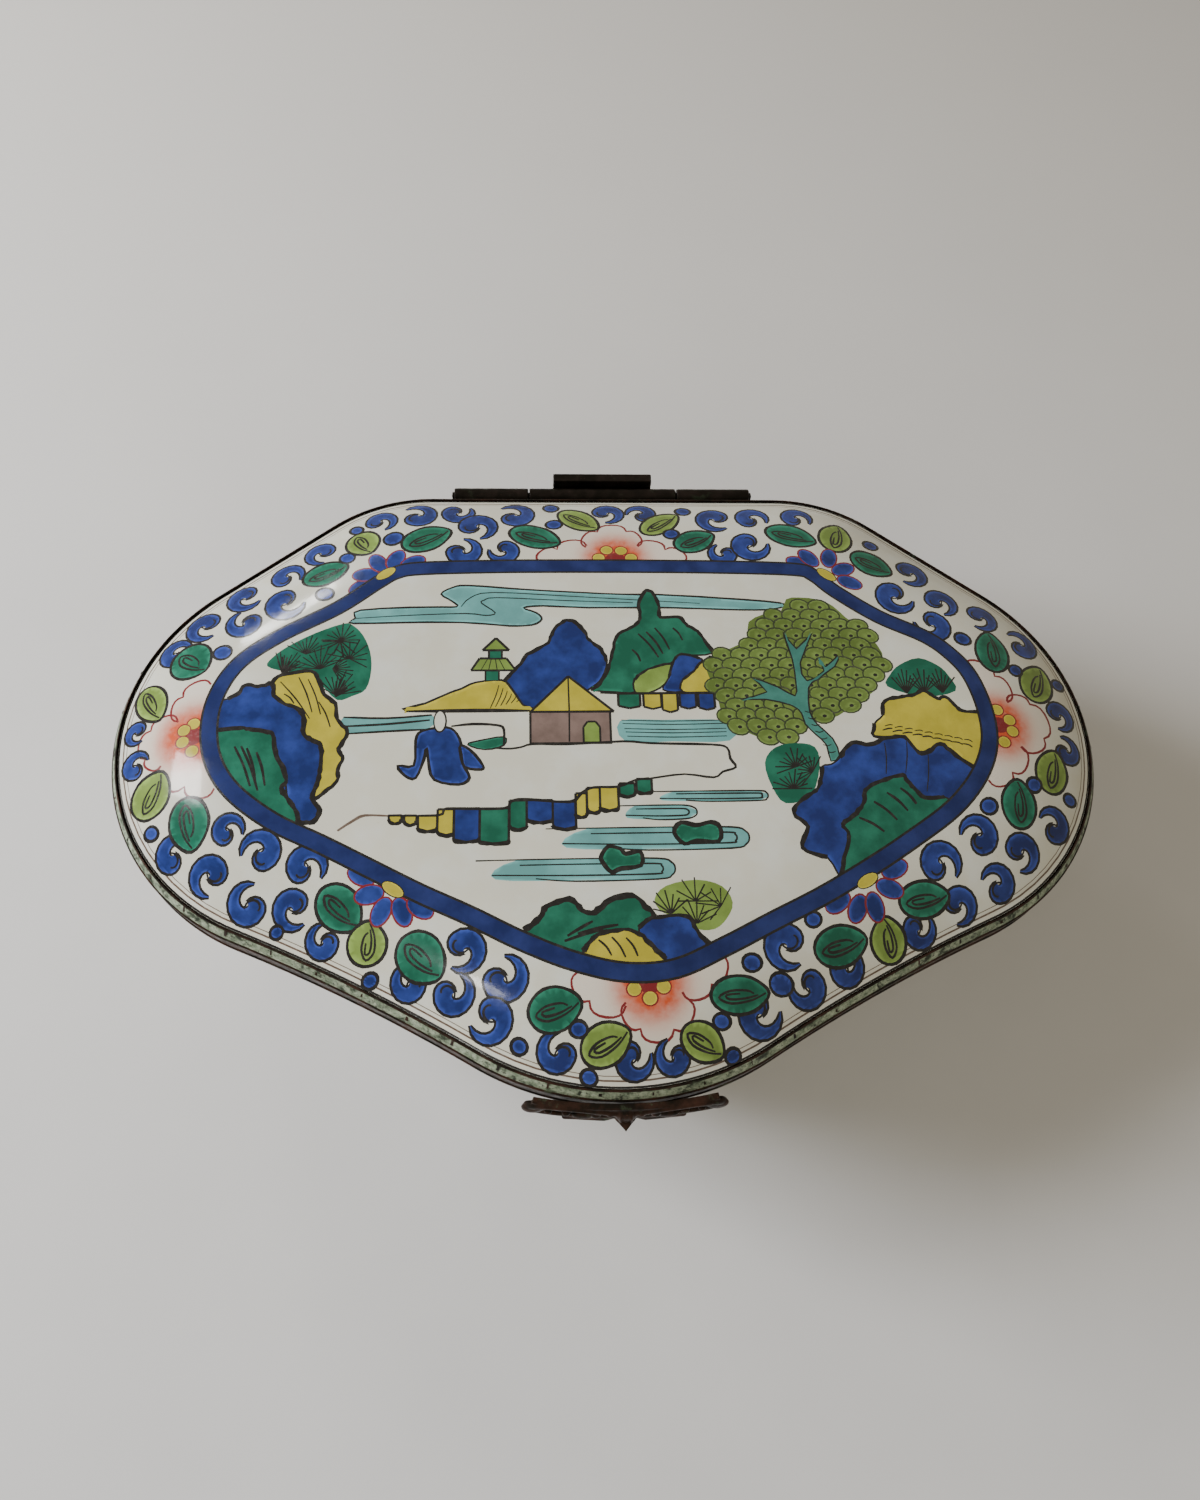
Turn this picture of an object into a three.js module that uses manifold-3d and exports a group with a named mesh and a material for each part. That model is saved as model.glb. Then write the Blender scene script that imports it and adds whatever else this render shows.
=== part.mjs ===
// A hinged porcelain table box: a lobed lozenge in plan, with a low domed lid, tapering hollow walls,
// patinated metal mounts round the lid and the mouth, a barrel hinge behind and a cast bow clasp in front.
// Millimetres, +Z up. The origin is on the flat underside, on the middle line. -Y is the front.
import * as THREE from 'three';
import { mergeVertices } from 'three/addons/utils/BufferGeometryUtils.js';
import Module from 'manifold-3d';

// Plan of the rim, made of arcs that run into each other
const halfWidth = 107.5;
const frontReach = 77.5;
const backReach = 65;
const endRadius = 48;
const endCentreY = -0.5;
const frontRadius = 58;
const backCornerRadius = 38;
const backFlatHalf = 41;
const waistRadius = 400;
const arcStep = THREE.MathUtils.degToRad(9);
const longestChord = 14;

// Heights
const partingHeight = 54;
const partingGap = 0.3;
const footHeight = 3;
const floorThickness = 5;

// Porcelain
const boxWall = 4.2;
const boxRimInset = 1.3;
const boxFootInset = 17.5;
const boxTaperPower = 1.25;
const footStep = 0.8;
const lidWall = 3.6;
const lidRimInset = 2;
const lidRimWidth = 4.2;
const lidEdgeHeight = 2.05;
const crownRise = 9;
const domeReach = 44;
// where the lid's rings lie: shares of the dome's reach, then shares of the way out from the middle
const slopeParts = [0.03, 0.11, 0.22, 0.33, 0.45, 0.6];
const hollowParts = [0, 0.09, 0.2, 0.34, 0.5];
const crownParts = [0.62, 0.3];

// Metal mounts
const seatGap = 0.3;
const mountThickness = 0.5;
const lipHeight = 0.75;
const chamferWidth = 1.35;
const collarDepth = 5.2;
const collarSkirt = 0.7;
const beadHeight = 0.9;
const beadWidth = 0.3;

// Hinge
const barrelRadius = 1.8;
const boreRadius = 1.0;
const pinRadius = 0.85;
const pinHead = 0.4;
const barrelHalf = 36;
const centreKnuckleHalf = 18;
const knuckleGap = 0.3;
const barrelSides = 20;
const leafThickness = 0.8;
const leafGap = 0.15;
const stopHalf = 12;
const stopPlate = 1.1;
const stopUpright = 2.4;
const stopClearance = 1.0;
const stopRise = 2.2;

// Clasp
const claspHalf = 19;
const claspBowHeight = 7.4;
const claspRibbon = 0.95;
const claspLoopSwell = 0.35;
const claspLoopPoints = 10;
const claspLoopSteps = 14;
const ribbonSides = 5;
const claspKnotRadius = 2.3;
const claspKnotDepth = 1.6;
// the tail's route: shares of the clasp's half width, of the bar's depth and of the bow's height
const claspTailRoute = [[0.05, 1, -0.07], [0.21, 1.4, -0.35], [0.45, 1.2, -0.45], [0.63, 1, -0.68]];
const claspBarDepth = 1.3;
const claspBarHeight = 3.4;
const claspBend = 95;
const claspTipReach = 5.4;
const claspTipHalf = 2.6;
const claspTipFlat = 0.55;
const claspTipDrop = 1;

// joining the clasp's parts leaves corners and slivers smaller than this, which are taken away
const joinTolerance = 0.05;

const porcelain = { color: 0xeeece4, roughness: 0.12, metalness: 0 };
const patinatedBrass = { color: 0x4f4a33, roughness: 0.55, metalness: 0.8 };

const wasm = await Module();
wasm.setup();

const middle = new THREE.Vector2(0, (backReach - frontReach) / 2);

// A point of the rim with its outward direction, so that a ring set in from the rim is one step away
function rimPoint(centre, radius, angle, concave = false) {
  const away = new THREE.Vector2(Math.cos(angle), Math.sin(angle));
  const point = away.clone().multiplyScalar(radius).add(centre);
  return { point, out: concave ? away.negate() : away };
}

function arc(centre, radius, from, to, concave) {
  const steps = Math.max(1, Math.ceil(Math.abs(to - from) / arcStep),
    Math.ceil(Math.abs(to - from) * radius / longestChord));
  const at = (k) => rimPoint(centre, radius, from + (to - from) * k / steps, concave);
  return Array.from({ length: steps + 1 }, (_, k) => at(k));
}

// The right half of the rim, from the front's middle round to the back's middle
function halfRim() {
  const front = new THREE.Vector2(0, frontRadius - frontReach);
  const end = new THREE.Vector2(halfWidth - endRadius, endCentreY);
  const corner = new THREE.Vector2(backFlatHalf, backReach - backCornerRadius);
  const between = end.clone().sub(front);
  const span = between.length();
  // the waist's circle lies outside and touches the front's circle and the end's circle
  const toFront = frontRadius + waistRadius;
  const toEnd = endRadius + waistRadius;
  const along = (toFront ** 2 - toEnd ** 2 + span ** 2) / (2 * span);
  const outwards = new THREE.Vector2(between.y, -between.x).divideScalar(span);
  const waist = front.clone().addScaledVector(between, along / span)
    .addScaledVector(outwards, Math.sqrt(toFront ** 2 - along ** 2));
  const frontTurn = waist.clone().sub(front).angle() - 2 * Math.PI;
  const endTurn = waist.clone().sub(end).angle() - 2 * Math.PI;
  // the straight side behind the end touches the end's circle and the back corner's circle
  const behind = corner.clone().sub(end);
  const sideTurn = behind.angle() - Math.acos((endRadius - backCornerRadius) / behind.length());
  return [
    ...arc(front, frontRadius, -Math.PI / 2, frontTurn),
    ...arc(waist, waistRadius, frontTurn + Math.PI, endTurn + Math.PI, true).slice(1),
    ...arc(end, endRadius, endTurn, sideTurn).slice(1),
    ...straight(rimPoint(end, endRadius, sideTurn), rimPoint(corner, backCornerRadius, sideTurn)),
    ...arc(corner, backCornerRadius, sideTurn, Math.PI / 2),
    ...straight(rimPoint(corner, backCornerRadius, Math.PI / 2),
      { point: new THREE.Vector2(0, backReach), out: new THREE.Vector2(0, 1) }, true),
  ];
}

// Points between two ends of a straight stretch, with its last end only when asked
function straight(a, b, withEnd = false) {
  const steps = Math.max(1, Math.ceil(a.point.distanceTo(b.point) / longestChord));
  const inner = Array.from({ length: steps - 1 }, (_, k) => ({
    point: a.point.clone().lerp(b.point, (k + 1) / steps),
    out: a.out.clone(),
  }));
  return withEnd ? [...inner, b] : inner;
}

function wholeRim() {
  const right = halfRim();
  const left = right.slice(1, -1).reverse().map(({ point, out }) => ({
    point: new THREE.Vector2(-point.x, point.y),
    out: new THREE.Vector2(-out.x, out.y),
  }));
  return [...right, ...left];
}

const rim = wholeRim();

function ring(inset, z) {
  return rim.map(({ point, out }) => new THREE.Vector3(point.x - out.x * inset, point.y - out.y * inset, z));
}

function distanceFromRim(x, y) {
  const here = new THREE.Vector3(x, y, 0);
  const nearest = new THREE.Vector3();
  const edge = new THREE.Line3();
  return rim.reduce((least, { point }, k) => {
    const next = rim[(k + 1) % rim.length].point;
    edge.start.set(point.x, point.y, 0);
    edge.end.set(next.x, next.y, 0);
    edge.closestPointToPoint(here, true, nearest);
    return Math.min(least, nearest.distanceTo(here));
  }, Infinity);
}

// How far the lid's outer face has risen above its edge, at a distance in from that edge
function domeRise(distance) {
  const left = 1 - THREE.MathUtils.clamp(distance / domeReach, 0, 1);
  return crownRise * (1 - left ** 3);
}

// Joins rings of equal length by bands of triangles. With two hub heights the ends are closed by fans,
// and without them the last ring joins the first.
function loft(rings, hubs) {
  const count = rings[0].length;
  const positions = rings.flat().flatMap((p) => [p.x, p.y, p.z]);
  const faces = [];
  const last = hubs ? rings.length - 1 : rings.length;
  for (let r = 0; r < last; r += 1) {
    const low = r * count;
    const high = ((r + 1) % rings.length) * count;
    for (let k = 0; k < count; k += 1) {
      const next = (k + 1) % count;
      faces.push(low + k, low + next, high + next, low + k, high + next, high + k);
    }
  }
  (hubs ?? []).forEach((z, end) => {
    const start = end * (rings.length - 1) * count;
    const hub = positions.length / 3;
    positions.push(middle.x, middle.y, z);
    for (let k = 0; k < count; k += 1) {
      const next = (k + 1) % count;
      faces.push(hub, start + (end ? k : next), start + (end ? next : k));
    }
  });
  const geometry = new THREE.BufferGeometry();
  geometry.setAttribute('position', new THREE.Float32BufferAttribute(positions, 3));
  geometry.setIndex(faces);
  geometry.computeVertexNormals();
  return geometry;
}

function mesh(name, geometry, finish) {
  const made = new THREE.Mesh(geometry, new THREE.MeshStandardMaterial(finish));
  made.name = name;
  return made;
}

function toSolid(geometry) {
  const bare = geometry.clone();
  bare.deleteAttribute('normal');
  bare.deleteAttribute('uv');
  const merged = mergeVertices(bare, 1e-4);
  return new wasm.Manifold(new wasm.Mesh({
    numProp: 3,
    vertProperties: new Float32Array(merged.attributes.position.array),
    triVerts: new Uint32Array(merged.index.array),
  }));
}

function fromSolid(solid) {
  const { vertProperties, triVerts } = solid.getMesh();
  const geometry = new THREE.BufferGeometry();
  geometry.setAttribute('position', new THREE.BufferAttribute(new Float32Array(vertProperties), 3));
  geometry.setIndex(new THREE.BufferAttribute(new Uint32Array(triVerts), 1));
  geometry.computeVertexNormals();
  return geometry;
}

const joined = (geometries) => geometries.map(toSolid).reduce((a, b) => a.add(b));

// Box: a flat underside, a low foot, walls that bow out towards the mouth, and the hollow inside
function boxInset(z) {
  const top = partingHeight - partingGap / 2 - mountThickness - seatGap;
  const down = (top - z) / (top - footHeight);
  return boxRimInset + (boxFootInset - boxRimInset) * down ** boxTaperPower;
}

function porcelainBox() {
  const top = partingHeight - partingGap / 2 - mountThickness - seatGap;
  const levels = [0.06, 0.2, 0.38, 0.58, 0.8, 1];
  const outer = levels.map((part) => {
    const z = footHeight + (top - footHeight) * part;
    return ring(boxInset(z), z);
  });
  const innerLevels = [1, 0.8, 0.58, 0.38, 0.2, 0.07];
  const inner = innerLevels.map((part) => {
    const z = floorThickness + (top - floorThickness) * part;
    return ring(boxInset(z) + boxWall, z);
  });
  const footInset = boxFootInset + footStep;
  return loft([
    ring(footInset + footStep, 0),
    ring(footInset, footStep),
    ring(footInset, footHeight - footStep),
    ...outer,
    ...inner,
    ring(boxInset(floorThickness) + boxWall + footStep, floorThickness),
  ], [0, floorThickness]);
}

// Lid: one dome over its whole plan, with an even wall and a level rim that seats in the lid mount
const lidSeat = partingHeight + partingGap / 2 + mountThickness + seatGap;
const lidEdge = lidSeat + lidEdgeHeight;

function domedRing(inset, shrink, drop) {
  const flat = ring(inset, 0).map((p) => new THREE.Vector3(
    THREE.MathUtils.lerp(middle.x, p.x, shrink), THREE.MathUtils.lerp(middle.y, p.y, shrink), 0));
  flat.forEach((p) => {
    p.z = lidEdge + domeRise(distanceFromRim(p.x, p.y) - lidRimInset) - drop;
  });
  return flat;
}

function porcelainLid() {
  const hollowEdge = lidRimInset + lidRimWidth;
  const slope = slopeParts.map((part) => domedRing(lidRimInset + part * domeReach, 1, 0));
  const under = hollowParts.map((part) => domedRing(hollowEdge + part * domeReach, 1, lidWall));
  const crownInset = lidRimInset + slopeParts.at(-1) * domeReach;
  const ceilingInset = hollowEdge + hollowParts.at(-1) * domeReach;
  const crown = crownParts.map((part) => domedRing(crownInset, part, 0));
  const ceiling = crownParts.map((part) => domedRing(ceilingInset, part, lidWall));
  return loft([
    ...ceiling.reverse(),
    ...under.reverse(),
    ring(hollowEdge, lidSeat),
    ring(lidRimInset, lidSeat),
    domedRing(lidRimInset, 1, 0),
    ...slope,
    ...crown,
  ], [lidEdge + crownRise - lidWall, lidEdge + crownRise]);
}

// Lid mount: a thin seat under the porcelain rim and a band that slopes in to hold its edge
function lidMount() {
  const low = partingHeight + partingGap / 2;
  const seat = low + mountThickness;
  const hold = lidRimInset - seatGap;
  return loft([
    ring(lidRimInset + lidRimWidth, low),
    ring(0, low),
    ring(0, low + lipHeight),
    ring(chamferWidth, lidEdge + mountThickness / 2),
    ring(hold, lidEdge + mountThickness),
    ring(hold, seat),
    ring(lidRimInset + lidRimWidth, seat),
  ]);
}

// Box mount: a seat over the mouth's rim and a skirt outside it that ends in a small bead
const collarTop = partingHeight - partingGap / 2;
const collarFoot = collarTop - collarDepth;
const skirtInset = boxRimInset - seatGap - collarSkirt;

function boxMount() {
  const seat = collarTop - mountThickness;
  const grip = boxRimInset - seatGap;
  return loft([
    ring(boxRimInset + boxWall, seat),
    ring(grip, seat),
    ring(grip, collarFoot),
    ring(skirtInset - beadWidth / 2, collarFoot),
    ring(skirtInset - beadWidth, collarFoot + beadHeight / 2),
    ring(skirtInset, collarFoot + beadHeight),
    ring(skirtInset, collarTop),
    ring(boxRimInset + boxWall, collarTop),
  ]);
}

// Hinge
const hingeY = backReach + seatGap + barrelRadius;
const hingeZ = partingHeight;

function barrel(radius, from, to) {
  const turned = new THREE.CylinderGeometry(radius, radius, to - from, barrelSides);
  turned.rotateZ(Math.PI / 2);
  turned.translate((from + to) / 2, hingeY, hingeZ);
  return turned;
}

function slab(x0, x1, y0, y1, z0, z1) {
  const box = new THREE.BoxGeometry(x1 - x0, y1 - y0, z1 - z0);
  box.translate((x0 + x1) / 2, (y0 + y1) / 2, (z0 + z1) / 2);
  return box;
}

// A knuckle is a bored barrel with a leaf that lies against its mount
function knuckle(from, to, face, leafLow, leafHigh) {
  const leaf = slab(from, to, face, face + leafThickness, leafLow, leafHigh);
  const bore = toSolid(barrel(boreRadius, from - knuckleGap, to + knuckleGap));
  return fromSolid(joined([barrel(barrelRadius, from, to), leaf]).subtract(bore));
}

function boxKnuckle(from, to) {
  return knuckle(from, to, backReach - skirtInset + leafGap, collarFoot + beadHeight + leafGap, collarTop);
}

function lidKnuckle() {
  const half = centreKnuckleHalf - knuckleGap / 2;
  const low = partingHeight + partingGap / 2;
  return knuckle(-half, half, backReach + leafGap, low, low + lipHeight);
}

// The pin is turned: a shank with a thin domed head past each end of the barrel
function hingePin() {
  const half = barrelHalf + seatGap;
  const profile = [[0, -half - pinHead], [boreRadius, -half - pinHead / 2], [boreRadius, -half],
    [pinRadius, -half], [pinRadius, half], [boreRadius, half], [boreRadius, half + pinHead / 2],
    [0, half + pinHead]].map(([r, x]) => new THREE.Vector2(r, x));
  const turned = new THREE.LatheGeometry(profile, barrelSides);
  turned.rotateZ(-Math.PI / 2);
  turned.translate(0, hingeY, hingeZ);
  return turned;
}

// The stop is a bracket from the collar, under the barrel and up behind it
function hingeStop() {
  const back = barrelRadius + stopClearance;
  const top = barrelRadius + seatGap;
  const near = backReach - skirtInset + beadWidth + leafGap - hingeY;
  const shape = new THREE.Shape([
    [near, -top - stopPlate], [back + stopUpright, -top - stopPlate], [back + stopUpright, stopRise],
    [back, stopRise], [back, -top], [near, -top],
  ].map(([u, v]) => new THREE.Vector2(u, v)));
  const bracket = new THREE.ExtrudeGeometry(shape, { depth: 2 * stopHalf, bevelEnabled: false });
  // drawn in y and z, extruded along x
  bracket.rotateY(Math.PI / 2);
  bracket.rotateX(Math.PI / 2);
  bracket.translate(-stopHalf, hingeY, hingeZ);
  return bracket;
}

// Clasp: a ribbon bow with two loops and two tails on a bar, with a knot and a pointed lift in the middle
const claspFace = -frontReach - seatGap;
const claspZ = partingHeight - claspBowHeight / 3;

// A place on the clasp's own gentle bend, at a distance along it and out from its back
function onClasp(x, out, z) {
  const turn = x / claspBend;
  const radius = claspBend + out;
  return new THREE.Vector3(radius * Math.sin(turn), claspFace + claspBend - radius * Math.cos(turn), z);
}

// A loop of ribbon, wider away from the knot: rings set square to its path and joined end to end
function ribbonLoop(side) {
  const long = (claspHalf - claspRibbon) / 2;
  const tall = claspBowHeight / 2 - claspRibbon;
  const path = new THREE.CatmullRomCurve3(Array.from({ length: claspLoopPoints }, (_, k) => {
    const angle = 2 * Math.PI * k / claspLoopPoints;
    const swell = 1 + claspLoopSwell * Math.cos(angle);
    return onClasp(side * (claspRibbon + long + long * Math.cos(angle)), claspBarDepth,
      claspZ + tall * Math.sin(angle) * swell);
  }), true);
  return loft(Array.from({ length: claspLoopSteps }, (_, k) => {
    const at = path.getPointAt(k / claspLoopSteps);
    const forwards = path.getTangentAt(k / claspLoopSteps);
    const outwards = new THREE.Vector3(at.x / claspBend, -1, 0).normalize();
    const across = new THREE.Vector3().crossVectors(forwards, outwards).normalize();
    return Array.from({ length: ribbonSides }, (_, s) => {
      const angle = 2 * Math.PI * s / ribbonSides;
      return at.clone().addScaledVector(across, claspRibbon * Math.cos(angle))
        .addScaledVector(outwards, -claspRibbon * Math.sin(angle));
    });
  }));
}

function ribbonTail(side) {
  const path = new THREE.CatmullRomCurve3(claspTailRoute.map(([along, out, up]) => (
    onClasp(side * along * claspHalf, out * claspBarDepth, claspZ + up * claspBowHeight))));
  const section = new THREE.Shape(Array.from({ length: ribbonSides }, (_, s) => {
    const angle = 2 * Math.PI * s / ribbonSides;
    return new THREE.Vector2(Math.cos(angle), Math.sin(angle)).multiplyScalar(claspRibbon);
  }));
  return new THREE.ExtrudeGeometry(section, { steps: claspTailRoute.length, extrudePath: path });
}

function knob(x, out, z, sx, sy, sz) {
  const ball = new THREE.SphereGeometry(1, 8, 5);
  ball.scale(sx, sy, sz);
  const at = onClasp(x, out, z);
  ball.translate(at.x, at.y, at.z);
  return ball;
}

function claspBar() {
  const half = claspHalf - claspRibbon;
  const steps = 6;
  const low = claspZ - claspBarHeight / 2;
  const high = partingHeight + partingGap / 2 + lipHeight;
  const rings = Array.from({ length: steps + 1 }, (_, k) => {
    const x = half * (2 * k / steps - 1);
    return [[0, low], [0, high], [claspBarDepth, high], [claspBarDepth, low]]
      .map(([out, z]) => onClasp(x, out, z));
  });
  return plank(rings);
}

// A plank through four-cornered sections, closed at both ends
function plank(sections) {
  const positions = sections.flat().flatMap((p) => [p.x, p.y, p.z]);
  const faces = [0, 2, 1, 0, 3, 2];
  for (let r = 0; r < sections.length - 1; r += 1) {
    for (let k = 0; k < 4; k += 1) {
      const [a, b] = [r * 4 + k, r * 4 + (k + 1) % 4];
      faces.push(a, b, b + 4, a, b + 4, a + 4);
    }
  }
  const end = (sections.length - 1) * 4;
  faces.push(end, end + 1, end + 2, end, end + 2, end + 3);
  const geometry = new THREE.BufferGeometry();
  geometry.setAttribute('position', new THREE.Float32BufferAttribute(positions, 3));
  geometry.setIndex(faces);
  return geometry;
}

function liftTip() {
  const tip = new THREE.ConeGeometry(claspTipHalf, claspTipReach, 4);
  tip.rotateZ(Math.PI);
  tip.scale(1, 1, claspTipFlat);
  tip.translate(0, claspFace - claspTipReach / 2, claspZ - claspTipDrop);
  return tip;
}

function claspBow() {
  const leaf = claspBowHeight / 3;
  const leaves = [-1, 1].map((side) => knob(side * (claspHalf - leaf / 2), claspBarDepth, claspZ,
    leaf, leaf / 2, leaf * 0.8));
  const pleats = [-1, 1].map((side) => knob(side * claspHalf * 0.42, claspBarDepth * 1.3, claspZ,
    leaf, leaf * 0.4, leaf / 2));
  const parts = [
    claspBar(),
    ...[-1, 1].flatMap((side) => [ribbonLoop(side), ribbonTail(side)]),
    ...leaves,
    ...pleats,
    knob(0, claspBarDepth, claspZ, claspKnotRadius, claspKnotDepth, claspKnotRadius),
    liftTip(),
  ];
  return fromSolid(joined(parts).asOriginal().setTolerance(joinTolerance));
}

const root = new THREE.Group();
const gapHalf = knuckleGap / 2;
root.add(
  mesh('porcelain_box', porcelainBox(), porcelain),
  mesh('box_mount', boxMount(), patinatedBrass),
  mesh('porcelain_lid', porcelainLid(), porcelain),
  mesh('lid_mount', lidMount(), patinatedBrass),
  mesh('hinge_knuckle_left', boxKnuckle(-barrelHalf, -centreKnuckleHalf - gapHalf), patinatedBrass),
  mesh('hinge_knuckle_centre', lidKnuckle(), patinatedBrass),
  mesh('hinge_knuckle_right', boxKnuckle(centreKnuckleHalf + gapHalf, barrelHalf), patinatedBrass),
  mesh('hinge_pin', hingePin(), patinatedBrass),
  mesh('hinge_stop', hingeStop(), patinatedBrass),
  mesh('clasp_bow', claspBow(), patinatedBrass),
);

export default root;
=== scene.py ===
"""Looks of a hinged porcelain table box: a painted lid, a plainer painted box, patinated mounts and clasp.

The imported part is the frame. Plan sizes are millimetres in the frame's own axes; meshes are in metres.
"""

import math

import bpy
import numpy as np
from mathutils import Matrix, Vector, noise
from mathutils.geometry import delaunay_2d_cdt


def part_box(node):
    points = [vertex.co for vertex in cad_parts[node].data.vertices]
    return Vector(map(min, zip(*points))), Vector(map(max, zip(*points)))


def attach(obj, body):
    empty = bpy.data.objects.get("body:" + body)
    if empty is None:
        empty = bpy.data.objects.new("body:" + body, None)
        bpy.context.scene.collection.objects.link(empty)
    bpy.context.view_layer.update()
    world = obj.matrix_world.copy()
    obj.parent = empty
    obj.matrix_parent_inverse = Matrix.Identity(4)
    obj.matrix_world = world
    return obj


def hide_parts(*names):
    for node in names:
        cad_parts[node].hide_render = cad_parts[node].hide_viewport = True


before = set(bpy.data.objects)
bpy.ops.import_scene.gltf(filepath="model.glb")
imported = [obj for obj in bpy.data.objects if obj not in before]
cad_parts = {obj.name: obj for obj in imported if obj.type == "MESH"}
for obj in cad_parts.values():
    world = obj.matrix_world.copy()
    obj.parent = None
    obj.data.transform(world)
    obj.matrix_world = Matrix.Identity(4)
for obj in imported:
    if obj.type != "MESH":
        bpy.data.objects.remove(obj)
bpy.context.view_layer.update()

bl_info = {
    "name": "Painted porcelain box",
    "version": (1, 0, 0),
    "blender": (4, 5, 0),
    "location": "View3D > Sidebar > Porcelain box",
    "description": "Builds a painted porcelain table box with metal mounts round its packed frame",
    "category": "Object",
}

MM = 0.001


def frame_mm(node):
    """Lowest and highest corner of a frame node, in millimetres."""
    low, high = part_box(node)
    return [c / MM for c in low], [c / MM for c in high]


MOUNT_LOW, MOUNT_HIGH = frame_mm("lid_mount")
LID_LOW, LID_HIGH = frame_mm("porcelain_lid")
BOX_TOP = frame_mm("porcelain_box")[1][2]
STOP_LOW, STOP_HIGH = frame_mm("hinge_stop")
PIN_LOW, PIN_HIGH = frame_mm("hinge_pin")

# Plan of the rim: arcs that run into each other, as in the frame
HALF_WIDTH = round(2 * MOUNT_HIGH[0]) / 2
FRONT_REACH = -round(2 * MOUNT_LOW[1]) / 2
BACK_REACH = round(2 * MOUNT_HIGH[1]) / 2
END_RADIUS = 48.0
END_CENTRE_Y = -0.5
FRONT_RADIUS = 58.0
CORNER_RADIUS = 38.0
BACK_FLAT_HALF = 41.0
WAIST_RADIUS = 400.0
MIDDLE = Vector((0, (BACK_REACH - FRONT_REACH) / 2))

# Heights and walls
PARTING = 54.0
GAP = 0.3
LID_INSET = 2.0
LID_SHOULDER = 4.2
LID_WALL = 3.6
CROWN_RISE = 9.0
DOME_REACH = 44.0
LID_EDGE = LID_HIGH[2] - CROWN_RISE
BOX_WALL = 4.2
BOX_RIM_INSET = 1.3
BOX_FOOT_INSET = 17.5
FOOT_HEIGHT = 3.0
FLOOR = 5.0
TAPER = 1.25


class BoxForms(bpy.types.PropertyGroup):
    """Sizes that change the fineness of the box, not its frame."""

    outline_width: bpy.props.FloatProperty(
        name="Ink line", description="Width of the painted black line, in mm",
        default=0.66, min=0.1, max=1.2,
    )
    panel_band: bpy.props.FloatProperty(
        name="Panel band", description="Width of the blue band round the picture, in mm",
        default=3.1, min=1, max=6,
    )
    ground_step: bpy.props.FloatProperty(
        name="Ground step", description="Spacing of the lid's ground points, in mm",
        default=1.5, min=1, max=6,
    )
    nick_spacing: bpy.props.FloatProperty(
        name="Nick spacing", description="Distance between the nicks in the lid's band",
        default=0.0102, min=0.004, max=0.05, subtype="DISTANCE", unit="LENGTH",
    )
    garlands: bpy.props.IntProperty(
        name="Garlands", description="How many times the garland repeats round the box",
        default=10, min=4, max=16,
    )


def pigment_property(name, description, default):
    return bpy.props.FloatVectorProperty(
        name=name, description=description, default=default, subtype="COLOR", size=3, min=0, max=1
    )


class BoxPigments(bpy.types.PropertyGroup):
    """Enamels, glaze and metal of the box, as linear colours."""

    glaze: pigment_property("Glaze", "Ivory-white ground", (0.535, 0.505, 0.395))
    ink: pigment_property("Ink", "Brown-black drawn line", (0.009, 0.008, 0.008))
    cobalt: pigment_property("Cobalt", "Deep blue enamel", (0.009, 0.022, 0.118))
    green: pigment_property("Green", "Dark green enamel", (0.004, 0.10, 0.054))
    leaf: pigment_property("Light green", "Yellow-green enamel", (0.17, 0.25, 0.046))
    yellow: pigment_property("Yellow", "Straw yellow enamel", (0.47, 0.385, 0.035))
    water: pigment_property("Water", "Pale turquoise enamel", (0.125, 0.33, 0.30))
    mauve: pigment_property("Mauve", "Mauve-brown enamel", (0.175, 0.115, 0.092))
    red: pigment_property("Red", "Iron-red line", (0.155, 0.010, 0.013))
    verdigris: pigment_property("Verdigris", "Pale green skin on the lid's band", (0.165, 0.225, 0.125))
    bronze: pigment_property("Bronze", "Dark brown metal", (0.020, 0.014, 0.009))


class BoxStage(bpy.types.PropertyGroup):
    """Floor, light and camera."""

    floor: pigment_property("Floor", "Pale paper under the box", (0.57, 0.545, 0.505))
    daylight: bpy.props.FloatProperty(
        name="Daylight", description="Strength of the soft light from the left, in watts",
        default=23, min=0, max=200,
    )
    lens: bpy.props.FloatProperty(
        name="Lens", description="Focal length of the camera", default=36, min=10, max=200, unit="CAMERA"
    )


# Rim

def bearing(angle):
    """The unit vector at an angle in radians."""
    return Vector((math.cos(angle), math.sin(angle)))


def arc(centre, radius, start, end, step, concave=False):
    """Points and outward directions along an arc."""
    count = max(1, math.ceil(abs(end - start) * radius / step))
    sign = -1 if concave else 1
    course = []
    for k in range(count + 1):
        away = bearing(start + (end - start) * k / count)
        course.append((centre + radius * away, sign * away))
    return course


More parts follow.
